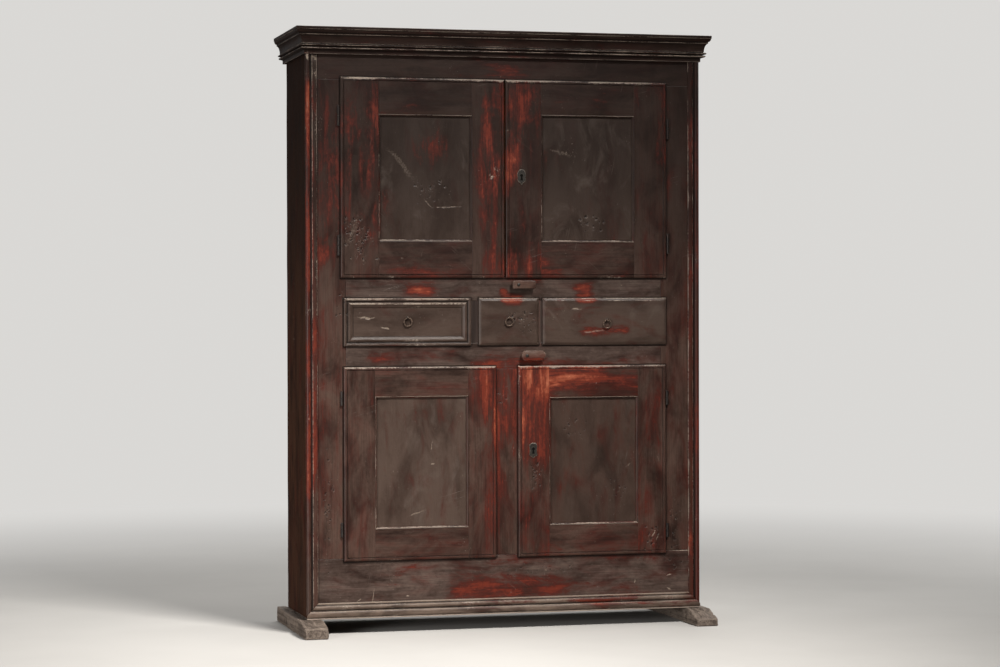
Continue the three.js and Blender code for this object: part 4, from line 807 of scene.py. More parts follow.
def board(name, low, high, material, body, along="z", replaces=(), radius=EDGE_SOFTENING,
          shape=None, planed=HAND_PLANED, cell=CELL, edge_wear=0.3, seams=False, raw=()):
    """A board with softened edges. shape can move its points, for a bevel or a taper. raw names
    the sides that stay unpainted, as axis and end."""
    low, high = np.array(low, float), np.array(high, float)
    radius = min(radius, 0.45 * float((high - low).min()))
    axes = []
    for axis, (a, b) in enumerate(zip(low, high)):
        fixed = [edge + inward * radius * share for edge, inward in ((a, 1), (b, -1)) for share in (0.35, 1)]
        if b - a > 3 * (radius + EDGE_BAND):
            fixed += [a + radius + EDGE_BAND, b - radius - EDGE_BAND]
        wanted = ()
        if axis != 1:
            fixed += seam_lines(axis // 2) if seams else []
            if low[1] < FRONT_LIMIT:
                wanted = fine_lines(axis // 2, low[0], high[0], low[2], high[2])
        axes.append(lines_between(a, b, fixed, cell, wanted))
    index, faces, unpainted = {}, [], []
    counts = [len(a) - 1 for a in axes]
    for axis in range(3):
        u, v = [a for a in range(3) if a != axis]
        for end in (0, counts[axis]):
            unpainted += ["xyz"[axis] + ("+" if end else "-") in raw] * (counts[u] * counts[v])
            for i in range(counts[u]):
                for j in range(counts[v]):
                    corner = []
                    for du, dv in ((0, 0), (1, 0), (1, 1), (0, 1)):
                        at = [0, 0, 0]
                        at[axis], at[u], at[v] = end, i + du, j + dv
                        corner.append(index.setdefault(tuple(at), len(index)))
                    outward = (end > 0) == (axis != 1)
                    faces.append(corner if outward else corner[::-1])
    points = np.array([[lines[i] for lines, i in zip(axes, at)] for at in index])
    gaps = np.sort(np.minimum(points - low, high - points), axis=1)
    arris = edge_wear * (1 - smooth(gaps[:, 1], radius, radius + EDGE_BAND))
    core = np.clip(points, low + radius, high - radius)
    offset = points - core
    direction = offset / np.maximum(np.linalg.norm(offset, axis=1, keepdims=True), 1e-9)
    points = core + direction * radius + direction * wave(points, name, planed)[:, None]
    if shape:
        points = shape(points)
    # With seams, painted shade round the doors and drawers darkens the frame
    piece = add_piece(name, points, faces, material, body, along, arris,
                      seam_grime(points) if seams else 0, replaces)
    if raw:
        piece.data.materials.append(MATERIALS["inside_wood"])
        piece.data.polygons.foreach_set("material_index", [int(bare) for bare in unpainted])
    return piece


def relief(name, rect, outline, kind, material, body, along, replaces):
    """A flat member whose front is cut back by a depth that depends on how far a point lies
    inside the outline. The same insets on all four sides keep the mitres true."""
    drop, insets, edge_lines, groove_lines = kind
    edges = [[outline[k] + i for i in insets] + [outline[k + 1] - i for i in insets] for k in (0, 2)]
    xs = lines_between(*rect[:2], edges[0], CELL, fine_lines(0, *rect))
    zs = lines_between(*rect[2:], edges[1], CELL, fine_lines(1, *rect))
    grid_x, grid_z = np.meshgrid(xs, zs, indexing="ij")
    inset = within(grid_x, grid_z, outline).min(axis=0)
    depth = np.vectorize(drop)(np.maximum(inset, 0))
    flat = np.stack([grid_x, DOOR_FRONT + depth, grid_z], axis=-1).reshape(-1, 3)
    near = within(grid_x, grid_z, rect).min(axis=0).ravel()
    flat[:, 1] += wave(flat, name, HAND_PLANED)
    flat[:, 1] += RIM_SOFTENING * (1 - smooth(near, 0, RIM_SOFTENING)) * (inset.ravel() > RIM_SOFTENING)
    nx, nz = len(xs), len(zs)
    faces = []
    for i in range(nx - 1):
        for j in range(nz - 1):
            a, b, c, d = i * nz + j, (i + 1) * nz + j, (i + 1) * nz + j + 1, i * nz + j + 1
            ridge = abs(depth[i, j] - depth[i + 1, j + 1])
            other = abs(depth[i + 1, j] - depth[i, j + 1])
            if abs(ridge - other) < 1e-6:
                faces.append((a, b, c, d))
            elif ridge > other:
                faces += [(a, b, c), (a, c, d)]
            else:
                faces += [(a, b, d), (b, c, d)]
    loop = [i * nz for i in range(nx)] + [(nx - 1) * nz + j for j in range(1, nz)]
    loop += [i * nz + nz - 1 for i in range(nx - 2, -1, -1)] + list(range(nz - 2, 0, -1))
    behind = flat[loop].copy()
    behind[:, 1] = LIP_BACK
    start, count = len(flat), len(loop)
    for i, (a, b) in enumerate(zip(loop, loop[1:] + loop[:1])):
        faces.append((b, a, start + i, start + (i + 1) % count))
    faces.append(tuple(range(start + count - 1, start - 1, -1)))
    inset = np.maximum(inset, 0).ravel()
    # Edge marks, raised on lips that face up for a painted highlight
    arris = strongest(inset, edge_lines) * facing_share(flat, outline)
    arris = np.maximum(arris, 0.15 * (1 - smooth(near, 0, EDGE_BAND)))
    hollow = strongest(inset, groove_lines)
    return add_piece(name, np.vstack([flat, behind]), faces, material, body, along,
                     np.pad(arris, (0, count)), np.pad(hollow, (0, count)), replaces)


def softened(profile, radius=0.0006, guard=0.0022):
    """A closed profile with its sharp corners cut back a little. A guard point on each long
    side of a corner keeps the wear of its edge narrow."""
    result = []
    count = len(profile)
    for i in range(count):
        before, here, after = (np.array(profile[(i + k) % count], float) for k in (-1, 0, 1))
        into, out = here - before, after - here
        lengths = np.linalg.norm(into), np.linalg.norm(out)
        if min(lengths) < 1e-7:
            continue
        into, out = into / lengths[0], out / lengths[1]
        if math.acos(np.clip(np.dot(into, out), -1, 1)) < SOFT_TURN:
            result.append(here)
            continue
        cut = min(radius, 0.4 * min(lengths))
        if lengths[0] > 3 * guard:
            result.append(here - into * guard)
        result += [here - into * cut, here + out * cut]
        if lengths[1] > 3 * guard:
            result.append(here + out * guard)
    return np.array(result)


def profile_marks(profile):
    """Edge and groove values from how tightly a closed profile turns, outward or inward."""
    before, after = np.roll(profile, 1, axis=0), np.roll(profile, -1, axis=0)
    into, out = profile - before, after - profile
    cross = into[:, 0] * out[:, 1] - into[:, 1] * out[:, 0]
    lengths = np.linalg.norm(into, axis=1), np.linalg.norm(out, axis=1)
    sine = np.clip(cross / np.maximum(lengths[0] * lengths[1], 1e-12), -1, 1)
    bend = np.arcsin(sine) / np.maximum(np.minimum(*lengths), 0.0008)
    area = np.sum(profile[:, 0] * after[:, 1] - after[:, 0] * profile[:, 1])
    bend *= math.copysign(0.0018, area)
    return np.clip(bend, 0, 1), np.clip(-bend * 1.6, 0, 1)


def facing_out(points, faces):
    """The same faces, all turned over if they enclose a negative volume."""
    volume = 0.0
    for face in faces:
        for i in range(1, len(face) - 1):
            volume += np.dot(points[face[0]], np.cross(points[face[i]], points[face[i + 1]]))
    return faces if volume >= 0 else [face[::-1] for face in faces]


def skin(rings, round_again=False):
    """Points and faces of rings that are joined one to the next. The last is joined to the
    first, or both get a cap."""
    points = np.array([tuple(p) for ring in rings for p in ring])
    count = len(rings[0])
    faces = []
    for r in range(len(rings) if round_again else len(rings) - 1):
        a, b = r * count, (r + 1) % len(rings) * count
        for i in range(count):
            j = (i + 1) % count
            faces.append((a + i, a + j, b + j, b + i))
    if not round_again:
        faces += [tuple(range(count))[::-1], tuple(range(len(points) - count, len(points)))]
    return points, facing_out(points, faces)


def sweep(name, profile, span, place, material, body, along, replaces=(), wear_and_highlight_gain=1.0):
    """A closed profile carried along a run. place gives where a profile point lies at each
    share of the run, so that mitres are only ends that lean."""
    profile = softened(profile)
    arris, hollow = profile_marks(profile)
    rings = np.array([[place(u, v, s) for u, v in profile] for s in run(*span)])
    points, faces = skin(rings)
    outward = (rings - rings.mean(axis=1, keepdims=True)).reshape(-1, 3)
    outward /= np.maximum(np.linalg.norm(outward, axis=1, keepdims=True), 1e-9)
    points = points + outward * wave(points, name, MOULDING_PLANED)[:, None]
    return add_piece(name, points, faces, material, body, along, np.tile(arris, len(rings)) * wear_and_highlight_gain,
                     np.tile(hollow, len(rings)), replaces)


def run(start, end):
    """Shares from 0 to 1 along a run, closer near the ends of a long one."""
    length = abs(end - start)
    parts = max(2, math.ceil(length / (CELL * 1.5)))
    close = [i * 0.003 / length for i in range(1, 8)] if length > LONG_RUN else []
    shares = [i / parts for i in range(parts + 1)] + close + [1 - c for c in close]
    return sorted({round(share, 6) for share in shares})


def arc(centre_u, centre_v, radius_u, radius_v, from_deg, to_deg, steps=10):
    angles = [math.radians(from_deg + (to_deg - from_deg) * i / steps) for i in range(steps + 1)]
    return [(centre_u + radius_u * math.cos(a), centre_v + radius_v * math.sin(a)) for a in angles]


def lathe(name, centre, axis, profile, material, body, replaces=(), sides=28):
    """A turned shape: profile holds how far along the axis and how far out each ring is. Its
    first and last points lie on the axis."""
    centre, axis = Vector(centre), Vector(axis).normalized()
    side = axis.orthogonal().normalized()
    other = axis.cross(side)
    points = [centre + axis * profile[0][0]]
    for along, out in profile[1:-1]:
        for i in range(sides):
            angle = math.tau * i / sides
            points.append(centre + axis * along + (side * math.cos(angle) + other * math.sin(angle)) * out)
    points = np.array([tuple(p) for p in [*points, centre + axis * profile[-1][0]]])
    last_ring = 1 + (len(profile) - 3) * sides
    faces = []
    for i in range(sides):
        j = (i + 1) % sides
        faces.append((0, 1 + j, 1 + i))
        for a in range(1, last_ring, sides):
            faces.append((a + i, a + j, a + sides + j, a + sides + i))
        faces.append((last_ring + i, last_ring + j, len(points) - 1))
    return add_piece(name, points, facing_out(points, faces), material, body, replaces=replaces)


# Case, feet and frame

def make_feet():
    """Runners with a bevelled nose. The ends are worn, so each is a little lower outside."""
    for side, nose in RUNNER_NOSES.items():
        low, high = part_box(f"foot_{side}")

        def shape(points):
            share = ramp(points[:, 1], low.y, low.y + RUNNER_BEVEL)
            crown = nose + (high.z - nose) * share
            worn = 1 - 0.05 * (1 - share) * np.abs(points[:, 0]) / abs(high.x)
            points[:, 2] = low.z + (points[:, 2] - low.z) * crown / high.z * worn
            return eroded(points, (low.x + high.x) / 2, high.z / 2)

        board(f"runner_{side}", low, high, "bare_wood", "case", "y", [f"foot_{side}"],
              radius=0.005, shape=shape, planed=HEWN, cell=SMALL_CELL, edge_wear=1.0)


def eroded(points, middle_x, middle_z):
    """Draws a runner's surface in by small hollows, deepest along its lower edges."""
    hollows = np.array([noise.noise(Vector(p) * 42) + 0.6 * noise.noise(Vector(p) * 120) for p in points])
    depth = FOOT_EROSION * np.clip(hollows + 0.1, 0, 1)
    inward = np.stack([middle_x - points[:, 0], 0 * depth, middle_z - points[:, 2]], axis=1)
    inward /= np.maximum(np.linalg.norm(inward, axis=1, keepdims=True), 1e-9)
    points = points + inward * (depth * (points[:, 2] > FIT))[:, None]
    points[:, 2] = np.maximum(points[:, 2], 0)
    return points


def make_sides():
    for side, inner in (("left", "x+"), ("right", "x-")):
        low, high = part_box(f"side_{side}")
        board(f"case_side_{side}", low, high, "side_paint", "case", "z", [f"side_{side}"],
              planed=ROUGH_PLANED, cell=SIDE_CELL, raw=(inner, "y+", "z+", "z-"))


def make_face_frame():
    """Stiles, rails and muntin, each cut back to where its joints show."""
    anywhere = -math.inf, math.inf
    inner = LEFT_INNER + FIT, RIGHT_INNER - FIT
    foot = RAIL_JOINT + FIT
    head, muntin_head = (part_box(rail)[0].z - FIT for rail in ("rail_top", "rail_lower_middle"))
    for name, node, paint, (left, right), (bottom, top) in (
            ("face_rail_bottom", "rail_bottom", "rail_paint", anywhere, anywhere),
            ("face_rail_lower", "rail_lower_middle", "rail_paint", inner, anywhere),
            ("face_rail_upper", "rail_upper_middle", "rail_paint", inner, anywhere),
            ("face_rail_top", "rail_top", "dark_paint", anywhere, anywhere),
            ("face_stile_left", "stile_left", "dark_paint", anywhere, (foot, head)),
            ("face_stile_right", "stile_right", "dark_paint", anywhere, (foot, head)),
            ("face_muntin", "muntin", "dark_paint", anywhere, (foot, muntin_head))):
        low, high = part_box(node)
        board(name, (max(low.x, left), FACE, max(low.z, bottom)),
              (min(high.x, right), FRAME_BACK, min(high.z, top)), paint, "case",
              "x" if "rail" in name else "z", [node], seams=True, raw=("y+",))


# Mouldings

def scaled(start, size):
    return lambda share: start + size * share


def cornice_profile(height, projection, bottom):
    """Fascia, two beads, cove, fillet, ovolo and top fillet, as [out, up] points."""
    out, up = scaled(0, projection), scaled(bottom, height)
    points = [(FIT, up(0)), (out(0.3), up(0)), (out(0.3), up(0.14))]
    for low, high, root, nose in ((0.16, 0.25, 0.42, 0.62), (0.27, 0.36, 0.46, 0.68)):
        points += arc(out(root), up((low + high) / 2), out(nose - root), height * (high - low) / 2, -90, 90)
    points.append((out(0.5), up(0.38)))
    points += arc(out(0.8), up(0.38), out(0.28), height * 0.32, 180, 96, 14)
    points.append((out(0.78), up(0.7)))
    points += arc(out(0.78), up(0.88), out(0.18), height * 0.12, -90, 0)
    points += [(out(1), up(0.89)), (out(1), up(1)), (FIT, up(1))]
    return points


def make_cornice():
    """A run along the front and a return on each side, mitred at the corners."""
    low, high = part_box("cornice")
    profile = cornice_profile(high.z - low.z, CASE_LEFT - low.x, low.z)

    def front(u, v, s):
        return (CASE_LEFT - u) + ((CASE_RIGHT + u) - (CASE_LEFT - u)) * s, FACE - u, v

    sweep("cornice_front", profile, (CASE_LEFT, CASE_RIGHT), front, "dark_paint", "case", "x",
          ["cornice"], wear_and_highlight_gain=1.25)
    for side, edge, sign in (("left", CASE_LEFT, -1), ("right", CASE_RIGHT, 1)):
        def back(u, v, s):
            return edge + sign * u, (FACE - u) + (CASE_BACK - (FACE - u)) * s, v

        sweep(f"cornice_return_{side}", profile, (FACE, CASE_BACK), back, "dark_paint", "case", "y",
              ["cornice"], wear_and_highlight_gain=1.1)


def corner_profile(width, proud):
    """Outer bead, groove and inner fillet, as [in from the outer edge, proud] points."""
    points = [(0, 0)]
    points += arc(width * 0.2, proud * 0.35, width * 0.2, proud * 0.65, 180, 0, 14)
    for u, v in ((0.42, 0.3), (0.54, 0.3), (0.58, 0.62), (0.94, 0.55), (1, 0.45), (1, 0)):
        points.append((width * u, proud * v))
    return points


def make_corner_mouldings():
    """Uprights that are mitred at the foot to meet the base moulding."""
    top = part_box("corner_moulding_left")[1].z
    base_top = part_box("base_moulding")[1].z
    for side, sign, paint in (("left", -1, "corner_paint"), ("right", 1, "red_paint")):
        low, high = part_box(f"corner_moulding_{side}")
        outer = max(abs(low.x), abs(high.x))
        foot = base_top - (high.x - low.x)

        def place(u, v, s):
            return sign * (outer - u), high.y - v, (foot + u) + (top - foot - u) * s

        sweep(f"corner_post_{side}", corner_profile(high.x - low.x, high.y - low.y), (foot, top), place,
              paint, "case", "z", [f"corner_moulding_{side}"])


def base_profile(height, proud, bottom):
    """Plinth, two round mouldings and a fillet, as [out, up] points."""
    up = scaled(bottom, height)
    points = [(0, up(0)), (proud * 0.75, up(0)), (proud * 0.75, up(0.06))]
    for low, high, root, nose in ((0.08, 0.5, 0.6, 1), (0.56, 0.84, 0.45, 0.85)):
        points += arc(proud * root, up((low + high) / 2), proud * (nose - root), height * (high - low) / 2,
                      -90, 90)
    points += [(proud * 0.35, up(0.87)), (proud * 0.45, up(0.92)), (proud * 0.45, up(1)), (0, up(1))]
    return points


def make_base_moulding():
    low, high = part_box("base_moulding")

    def place(u, v, s):
        reach = high.x - max(0.0, v - (high.z - CORNER_WIDTH))
        return -reach + 2 * reach * s, high.y - u, v

    # The beads' high edge gain gives worn crests with a painted highlight on them
    sweep("plinth_moulding", base_profile(high.z - low.z, high.y - low.y, low.z), (low.x, high.x), place,
          "base_paint", "case", "x", ["base_moulding"], wear_and_highlight_gain=2.0)


# Doors

def lip_drop(inset):
    """How far the front falls back: a round nose at the edge and a quirk inside it."""
    if inset < NOSE_RADIUS:
        return edge_round(inset, NOSE_RADIUS)
    return QUIRK_DEPTH * max(0.0, 1 - abs(inset - QUIRK_INSET) / QUIRK_HALF_WIDTH)


def edge_round(inset, radius):
    inset = min(inset, radius)
    return radius - math.sqrt(radius ** 2 - (radius - inset) ** 2)


def strongest(inset, lines):
    """The strongest of several lines that run round a front. Each has its inset, how far it
    is whole, where it ends and its strength."""
    found = np.zeros_like(inset)
    for centre, whole, end, strength in lines:
        found = np.maximum(found, strength * (1 - smooth(np.abs(inset - centre), whole, end)))
    return found


# Kinds of front: how far it falls back at an inset, the insets that need a grid line, and the
# lines of its edges and of its grooves
LIP = (lip_drop,
       [0, 0.0003, 0.0011, 0.0026, NOSE_RADIUS, 0.0078, QUIRK_INSET - QUIRK_HALF_WIDTH,
        QUIRK_INSET, QUIRK_INSET + QUIRK_HALF_WIDTH, 0.0165],
       [(0, 0.0035, 0.0075, 0.85), (QUIRK_INSET - 0.0022, 0.0005, 0.002, 0.45)],
       [(QUIRK_INSET, 0.0004, QUIRK_HALF_WIDTH, 1)])


def door_rects(body):
    """The core and the panel's opening, as left, right, bottom and top."""
    left, right, _, _ = door_outline(body)
    low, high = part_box(f"{body}_panel")
    hole = (low.x + PANEL_GROOVE, high.x - PANEL_GROOVE, low.z + PANEL_GROOVE, high.z - PANEL_GROOVE)
    below, above = "rail_upper_middle", "rail_top"
    if "lower" in body:
        below, above = "rail_bottom", "rail_lower_middle"
        muntin_low, muntin_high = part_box("muntin")
        left, right = muntin_high.x + CORE_CLEARANCE, muntin_low.x - CORE_CLEARANCE
    if "left" in body:
        left = LEFT_INNER + CORE_CLEARANCE
    else:
        right = RIGHT_INNER - CORE_CLEARANCE
    return (left, right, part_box(below)[1].z + CORE_CLEARANCE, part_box(above)[0].z - CORE_CLEARANCE), hole


def grown(rect, amount):
    return rect[0] - amount, rect[1] + amount, rect[2] - amount, rect[3] + amount


def members_of(outer, inner, rails):
    """Two stiles from end to end of the outer rectangle, and two rails as long as the last."""
    left, right, bottom, top = outer
    return [("left", "z", (left, inner[0], bottom, top)), ("right", "z", (inner[1], right, bottom, top)),
            ("bottom", "x", (*rails[:2], bottom, inner[2])), ("top", "x", (*rails[:2], inner[3], top))]


def make_door(body):
    """A lipped frame of four members, its unpainted core behind, its ovolo and its flat panel."""
    outline = door_outline(body)
    core, hole = door_rects(body)
    joints = grown(hole, STICKING_WIDTH)
    for end, along, rect in members_of(outline, grown(joints, FIT), joints):
        relief(f"{body}_{'stile' if along == 'z' else 'rail'}_{end}", rect, outline, LIP, "dark_paint",
               body, along, [f"{body}_frame"])
    for end, along, (x0, x1, z0, z1) in members_of(core, hole, grown(hole, -FIT)):
        board(f"{body}_core_{end}", (x0, LIP_BACK + FIT, z0), (x1, FACE + CORE_DEPTH, z1), "inside_wood",
              body, along, [f"{body}_frame"], cell=CORE_CELL)
    make_sticking(body, hole)
    low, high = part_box(f"{body}_panel")
    inset = PANEL_GROOVE - PANEL_HELD
    # The lower right panel takes the darker, redder copy: partly its own colour, partly painted shade
    board(f"{body}_flat_panel", (low.x + inset, low.y, low.z + inset),
          (high.x - inset, high.y, high.z - inset),
          "dark_panel_paint" if body == "door_lower_right" else "panel_paint", body, "z",
          [f"{body}_panel"], planed=PANEL_PLANED, raw=("y+",))


def make_sticking(body, hole):
    """The mitred ovolo round the panel: [out from the opening, y] carried along each side."""
    floor = DOOR_FRONT + PANEL_RECESS + STICKING_BURIED
    flat = DOOR_FRONT + STICKING_SUNK
    brow = DOOR_FRONT + STICKING_FILLET
    width = STICKING_WIDTH - FIT
    shoulder = width - STICKING_FLAT
    profile = [(0, floor), (width, floor), (width, flat), (shoulder, flat), (shoulder, brow)]
    fall = floor - STICKING_FOOT - brow
    for t in [math.radians(10 * i) for i in range(1, 10)]:
        profile.append((shoulder - shoulder * math.sin(t), brow + fall * (1 - math.cos(t))))
    left, right, bottom, top = hole
    # Edge gain of each side: the bottom ledge faces up and gets the most, partly wear and partly a painted
    # highlight
    for side, edge, outward, rubbed in (("left", left, -1, 0.8), ("right", right, 1, 0.3),
                                        ("bottom", bottom, -1, 2.4), ("top", top, 1, 1.3)):
        upright = side in ("left", "right")
        start, end = (bottom, top) if upright else (left, right)

        def place(u, v, s):
            across, along = edge + outward * u, (start - u) + (end - start + 2 * u) * s
            return (across, v, along) if upright else (along, v, across)

        sweep(f"{body}_ovolo_{side}", profile, (start, end), place, "dark_paint", body,
              "z" if upright else "x", [f"{body}_frame"], wear_and_highlight_gain=rubbed)


# Drawers

def bevel_drop(inset):
    return DRAWER_BEVEL_DEPTH * max(0.0, 1 - inset / DRAWER_BEVEL_WIDTH) + edge_round(inset, 0.0014)


BEVEL = (bevel_drop,
         [0, 0.0004, 0.0014, 0.005, DRAWER_BEVEL_WIDTH - 0.0022, DRAWER_BEVEL_WIDTH,
          DRAWER_BEVEL_WIDTH + 0.003],
         [(0, 0.0008, 0.0035, 1), (DRAWER_BEVEL_WIDTH, 0.0006, 0.0028, 0.75)], [])


def framed_drop(inset):
    """Two rounded ridges with a groove between them round a sunk field."""
    share = inset / DRAWER_FRAME_WIDTH

    def ridge(centre, half, root):
        t = (share - centre) / half
        return root * DRAWER_FIELD_DEPTH * (1 - math.sqrt(max(0.0, 1 - t * t)))

    if share <= 0.28:
        return ridge(0.14, 0.14, 0.55) + edge_round(inset, 0.001)
    if 0.50 < share <= 0.74:
        return ridge(0.62, 0.12, 0.25)
    return DRAWER_FIELD_DEPTH * float(np.interp(share, (0.46, 0.50, 0.74, 1), (0.72, 0.20, 0.25, 1)))


def in_frame(lines):
    return [(*(DRAWER_FRAME_WIDTH * share for share in line[:3]), line[3]) for line in lines]


FRAMED = (framed_drop,
          [DRAWER_FRAME_WIDTH * share for share in
           (0, 0.01, 0.04, 0.08, 0.14, 0.20, 0.25, 0.28, 0.32, 0.42, 0.46, 0.50, 0.53, 0.57, 0.62,
            0.67, 0.71, 0.74, 0.87, 1.0, 1.08)],
          in_frame([(0.02, 0.025, 0.080, 0.9), (0.14, 0.035, 0.112, 0.9), (0.51, 0.015, 0.048, 0.9),
                    (0.62, 0.030, 0.096, 0.9)]),
          in_frame([(0.37, 0.05, 0.09, 1), (0.99, 0.02, 0.06, 0.7)]))


def make_drawer(side):
    """The left front has a framed field and the others a plain bevel."""
    body = f"drawer_{side}"
    outline = drawer_outline(side)
    relief(f"{body}_lipped_front", outline, outline, FRAMED if side == "left" else BEVEL,
           "panel_paint", body, "x", [f"{body}_front"])
    low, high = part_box(f"{body}_box")
    front_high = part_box(f"{body}_front")[1]
    board(f"{body}_front_back", (low.x, LIP_BACK, low.z), (high.x, front_high.y, front_high.z - BACK_STEP),
          "inside_wood", body, "x", [f"{body}_front"])


# Iron

def ring_wire(name, centre, radius, wire, axis, body, replaces):
    """A ring of bent wire, a little uneven as forged work is."""
    axis = Vector(axis)
    side = Vector((0, 0, 1))
    other = axis.cross(side)
    steps, sides = 56, 14
    rings = []
    for i in range(steps):
        angle = math.tau * i / steps
        outward = side * math.cos(angle) + other * math.sin(angle)
        thick = wire * (1 + 0.07 * math.sin(3 * angle + radius * 900))
        turns = [math.tau * j / sides for j in range(sides)]
        rings.append([centre + outward * (radius + thick * math.cos(turn)) + axis * thick * math.sin(turn)
                      for turn in turns])
    return add_piece(name, *skin(rings, round_again=True), "ring_iron", body, replaces=replaces)


def make_pull(side):
    """A ring in a staple whose legs go through the front and are clinched behind it."""
    low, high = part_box(f"ring_{side}")
    centre, wire, body = (low + high) / 2, (high.y - low.y) / 2, f"drawer_{side}"
    ring_wire(f"pull_ring_{side}", centre, (high.x - low.x) / 2 - wire, wire, (0, 1, 0), f"pull_{side}",
              [f"ring_{side}"])
    eye = Vector((centre.x, centre.y, high.z - wire))
    low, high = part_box(f"staple_{side}")
    eye_radius = (high.z - low.z) / 2 - EYE_WIRE
    ring_wire(f"staple_eye_{side}", eye, eye_radius, EYE_WIRE, (1, 0, 0), body, [f"staple_{side}"])
    surface = eye.y + eye_radius + EYE_WIRE
    legs = [(0, 0), (0, LEG_RADIUS), (high.y - surface, LEG_RADIUS), (high.y - surface, 0)]
    lathe(f"staple_legs_{side}", (eye.x, surface, eye.z), (0, 1, 0), legs, "iron", body, sides=12)
    washer = [(-0.0012, 0), (-0.0012, 0.0042), (-0.0004, 0.0056), (0.0004, 0.0056), (0.0004, 0)]
    lathe(f"staple_washer_{side}", (eye.x, surface + 0.0002, eye.z), (0, 1, 0), washer, "iron", body,
          sides=20)
    board(f"staple_clinch_{side}", (low.x, high.y - 0.0026, eye.z - 0.0015),
          (high.x, high.y, eye.z + 0.0015), "iron", body, "x", radius=0.001, planed=0)


def knuckle_profile(length):
    r = KNUCKLE_RADIUS
    return [(0, 0), (0, r - 0.0008), (0.0008, r), (length - 0.0012, r), (length, r - 0.0014), (length, 0)]


def make_hinge(node):
    """A leaf in the stile with the lower knuckle, and the door's strap with the upper one."""
    low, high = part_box(node)
    body = node.replace("hinge", "door").rsplit("_", 1)[0]
    axis = Vector(pivot_of(body))
    centre = (low.z + high.z + KNUCKLE_RADIUS) / 2
    top = 2 * centre - low.z
    lathe(f"{node}_lower_knuckle", (axis.x, axis.y, low.z), (0, 0, 1),
          knuckle_profile(centre - low.z - FIT), "iron", "case", [node])
    board(f"{node}_leaf", (low.x, FACE - LEAF_PROUD, low.z),
          (high.x, FACE + LEAF_SUNK, high.z + KNUCKLE_RADIUS), "iron", "case", "z", radius=0.0006, planed=0)
    lathe(f"{node}_upper_knuckle", (axis.x, axis.y, centre + FIT), (0, 0, 1),
          knuckle_profile(top - centre - FIT), "iron", body, [f"{body}_frame"])
    inward = 1 if "left" in body else -1
    strap = sorted((axis.x, axis.x + inward * (HINGE_AXIS_OUT + STRAP_LAP)))
    board(f"{node}_strap", (strap[0], LIP_BACK - STRAP_THICKNESS, centre + FIT),
          (strap[1], LIP_BACK, top), "iron", body, "z", radius=0.0005, planed=0)


def plate_outline(level, half_width, half_height):
    right = []
    for curve in PLATE_SIDE_SHARES[level]:
        for t in np.arange(8) / 8:
            right.append(tuple((1 - t) ** 2 * a + 2 * t * (1 - t) * b + t * t * c for a, b, c in zip(*curve)))
    left = [(-u, v) for u, v in right[1:]][::-1]
    foot = PLATE_SIDE_SHARES[level][-1][-1]
    return [(u * half_width, v * half_height) for u, v in [*right, foot, *left]]


def keyhole_outline(radius=0.0050, half_slot=0.0028, half_foot=0.0042, drop=0.016):
    start = math.degrees(math.atan2(-math.sqrt(radius ** 2 - half_slot ** 2), half_slot))
    return [*arc(0, 0, radius, radius, start, 180 - start, 20), (-half_foot, -drop), (half_foot, -drop)]


def make_escutcheon(level):
    """The plate, a near-black sheet in its keyhole's shape that paints the shade in the hole, and its nails.
    """
    node, body = f"escutcheon_{level}", f"door_{level}_right"
    low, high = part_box(node)
    middle, height = (low + high) / 2, high.z - low.z
    outline = plate_outline(level, (high.x - low.x) / 2, height / 2)
    layers = [(high.y, 1.0, 0.0), (low.y + 0.0005, 1.0, 1.0), (low.y, 0.96, 0.8), (low.y, 0.88, 0.0)]
    plate = [[(middle.x + u * share, y, middle.z + v * share) for u, v in outline] for y, share, _ in layers]
    rim = np.repeat([worn for _, _, worn in layers], len(outline))
    add_piece(f"keyhole_plate_{level}", *skin(plate), "plate_iron", body, arris=rim, replaces=[node])
    hole = [[(middle.x + u, y, middle.z + KEYHOLE_RISE + v) for u, v in keyhole_outline()]
            for y in (low.y - 0.0002, low.y + 0.0004)]
    add_piece(f"keyhole_dark_{level}", *skin(hole), "dark_gap", body)
    for part, offset in (("head", 0.66), ("foot", -0.68)):
        nail(f"plate_nail_{part}_{level}", middle.x, middle.z + offset * height / 2, low.y, body,
             PLATE_NAIL_RADIUS)


def nail(name, x, z, surface, body, radius, material="iron"):
    dome = [(-0.5 * radius, 0), (-0.46 * radius, 0.45 * radius), (-0.2 * radius, 0.85 * radius),
            (0.0, radius), (0.0005, radius), (0.0005, 0)]
    lathe(name, (x, surface, z), (0, 1, 0), dome, material, body, sides=14)


def make_button(level):
    """A turn button: a bevelled wooden block on a nail."""
    node, body = f"turn_button_{level}", f"button_{level}"
    pivot = Vector(pivot_of(body))
    low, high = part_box(node)
    back = DOOR_FRONT - 0.0009
    if level == "upper":
        board("turn_block_upper", (low.x, low.y, low.z), (high.x, back, high.z), "button_paint", body, "x",
              [node], radius=0.003, planed=ROUGH_PLANED, cell=SMALL_CELL, edge_wear=0.5)
    else:
        make_round_button(node, body, low, high, back)
    boss = [(0, 0), (0, 0.009), (LIP_BACK - back, 0.009), (LIP_BACK - back, 0)]
    lathe(f"turn_boss_{level}", (pivot.x, back - 0.0002, pivot.z), (0, 1, 0), boss, "button_paint", body,
          sides=20)
    head = [(-0.0030, 0), (-0.0030, 0.0022), (-0.0021, 0.0044), (-0.0004, 0.0052), (0, 0.0048), (0, 0)]
    lathe(f"turn_nail_{level}", (pivot.x, low.y - FIT, pivot.z), (0, 1, 0), head, "plate_iron", "case",
          sides=20)


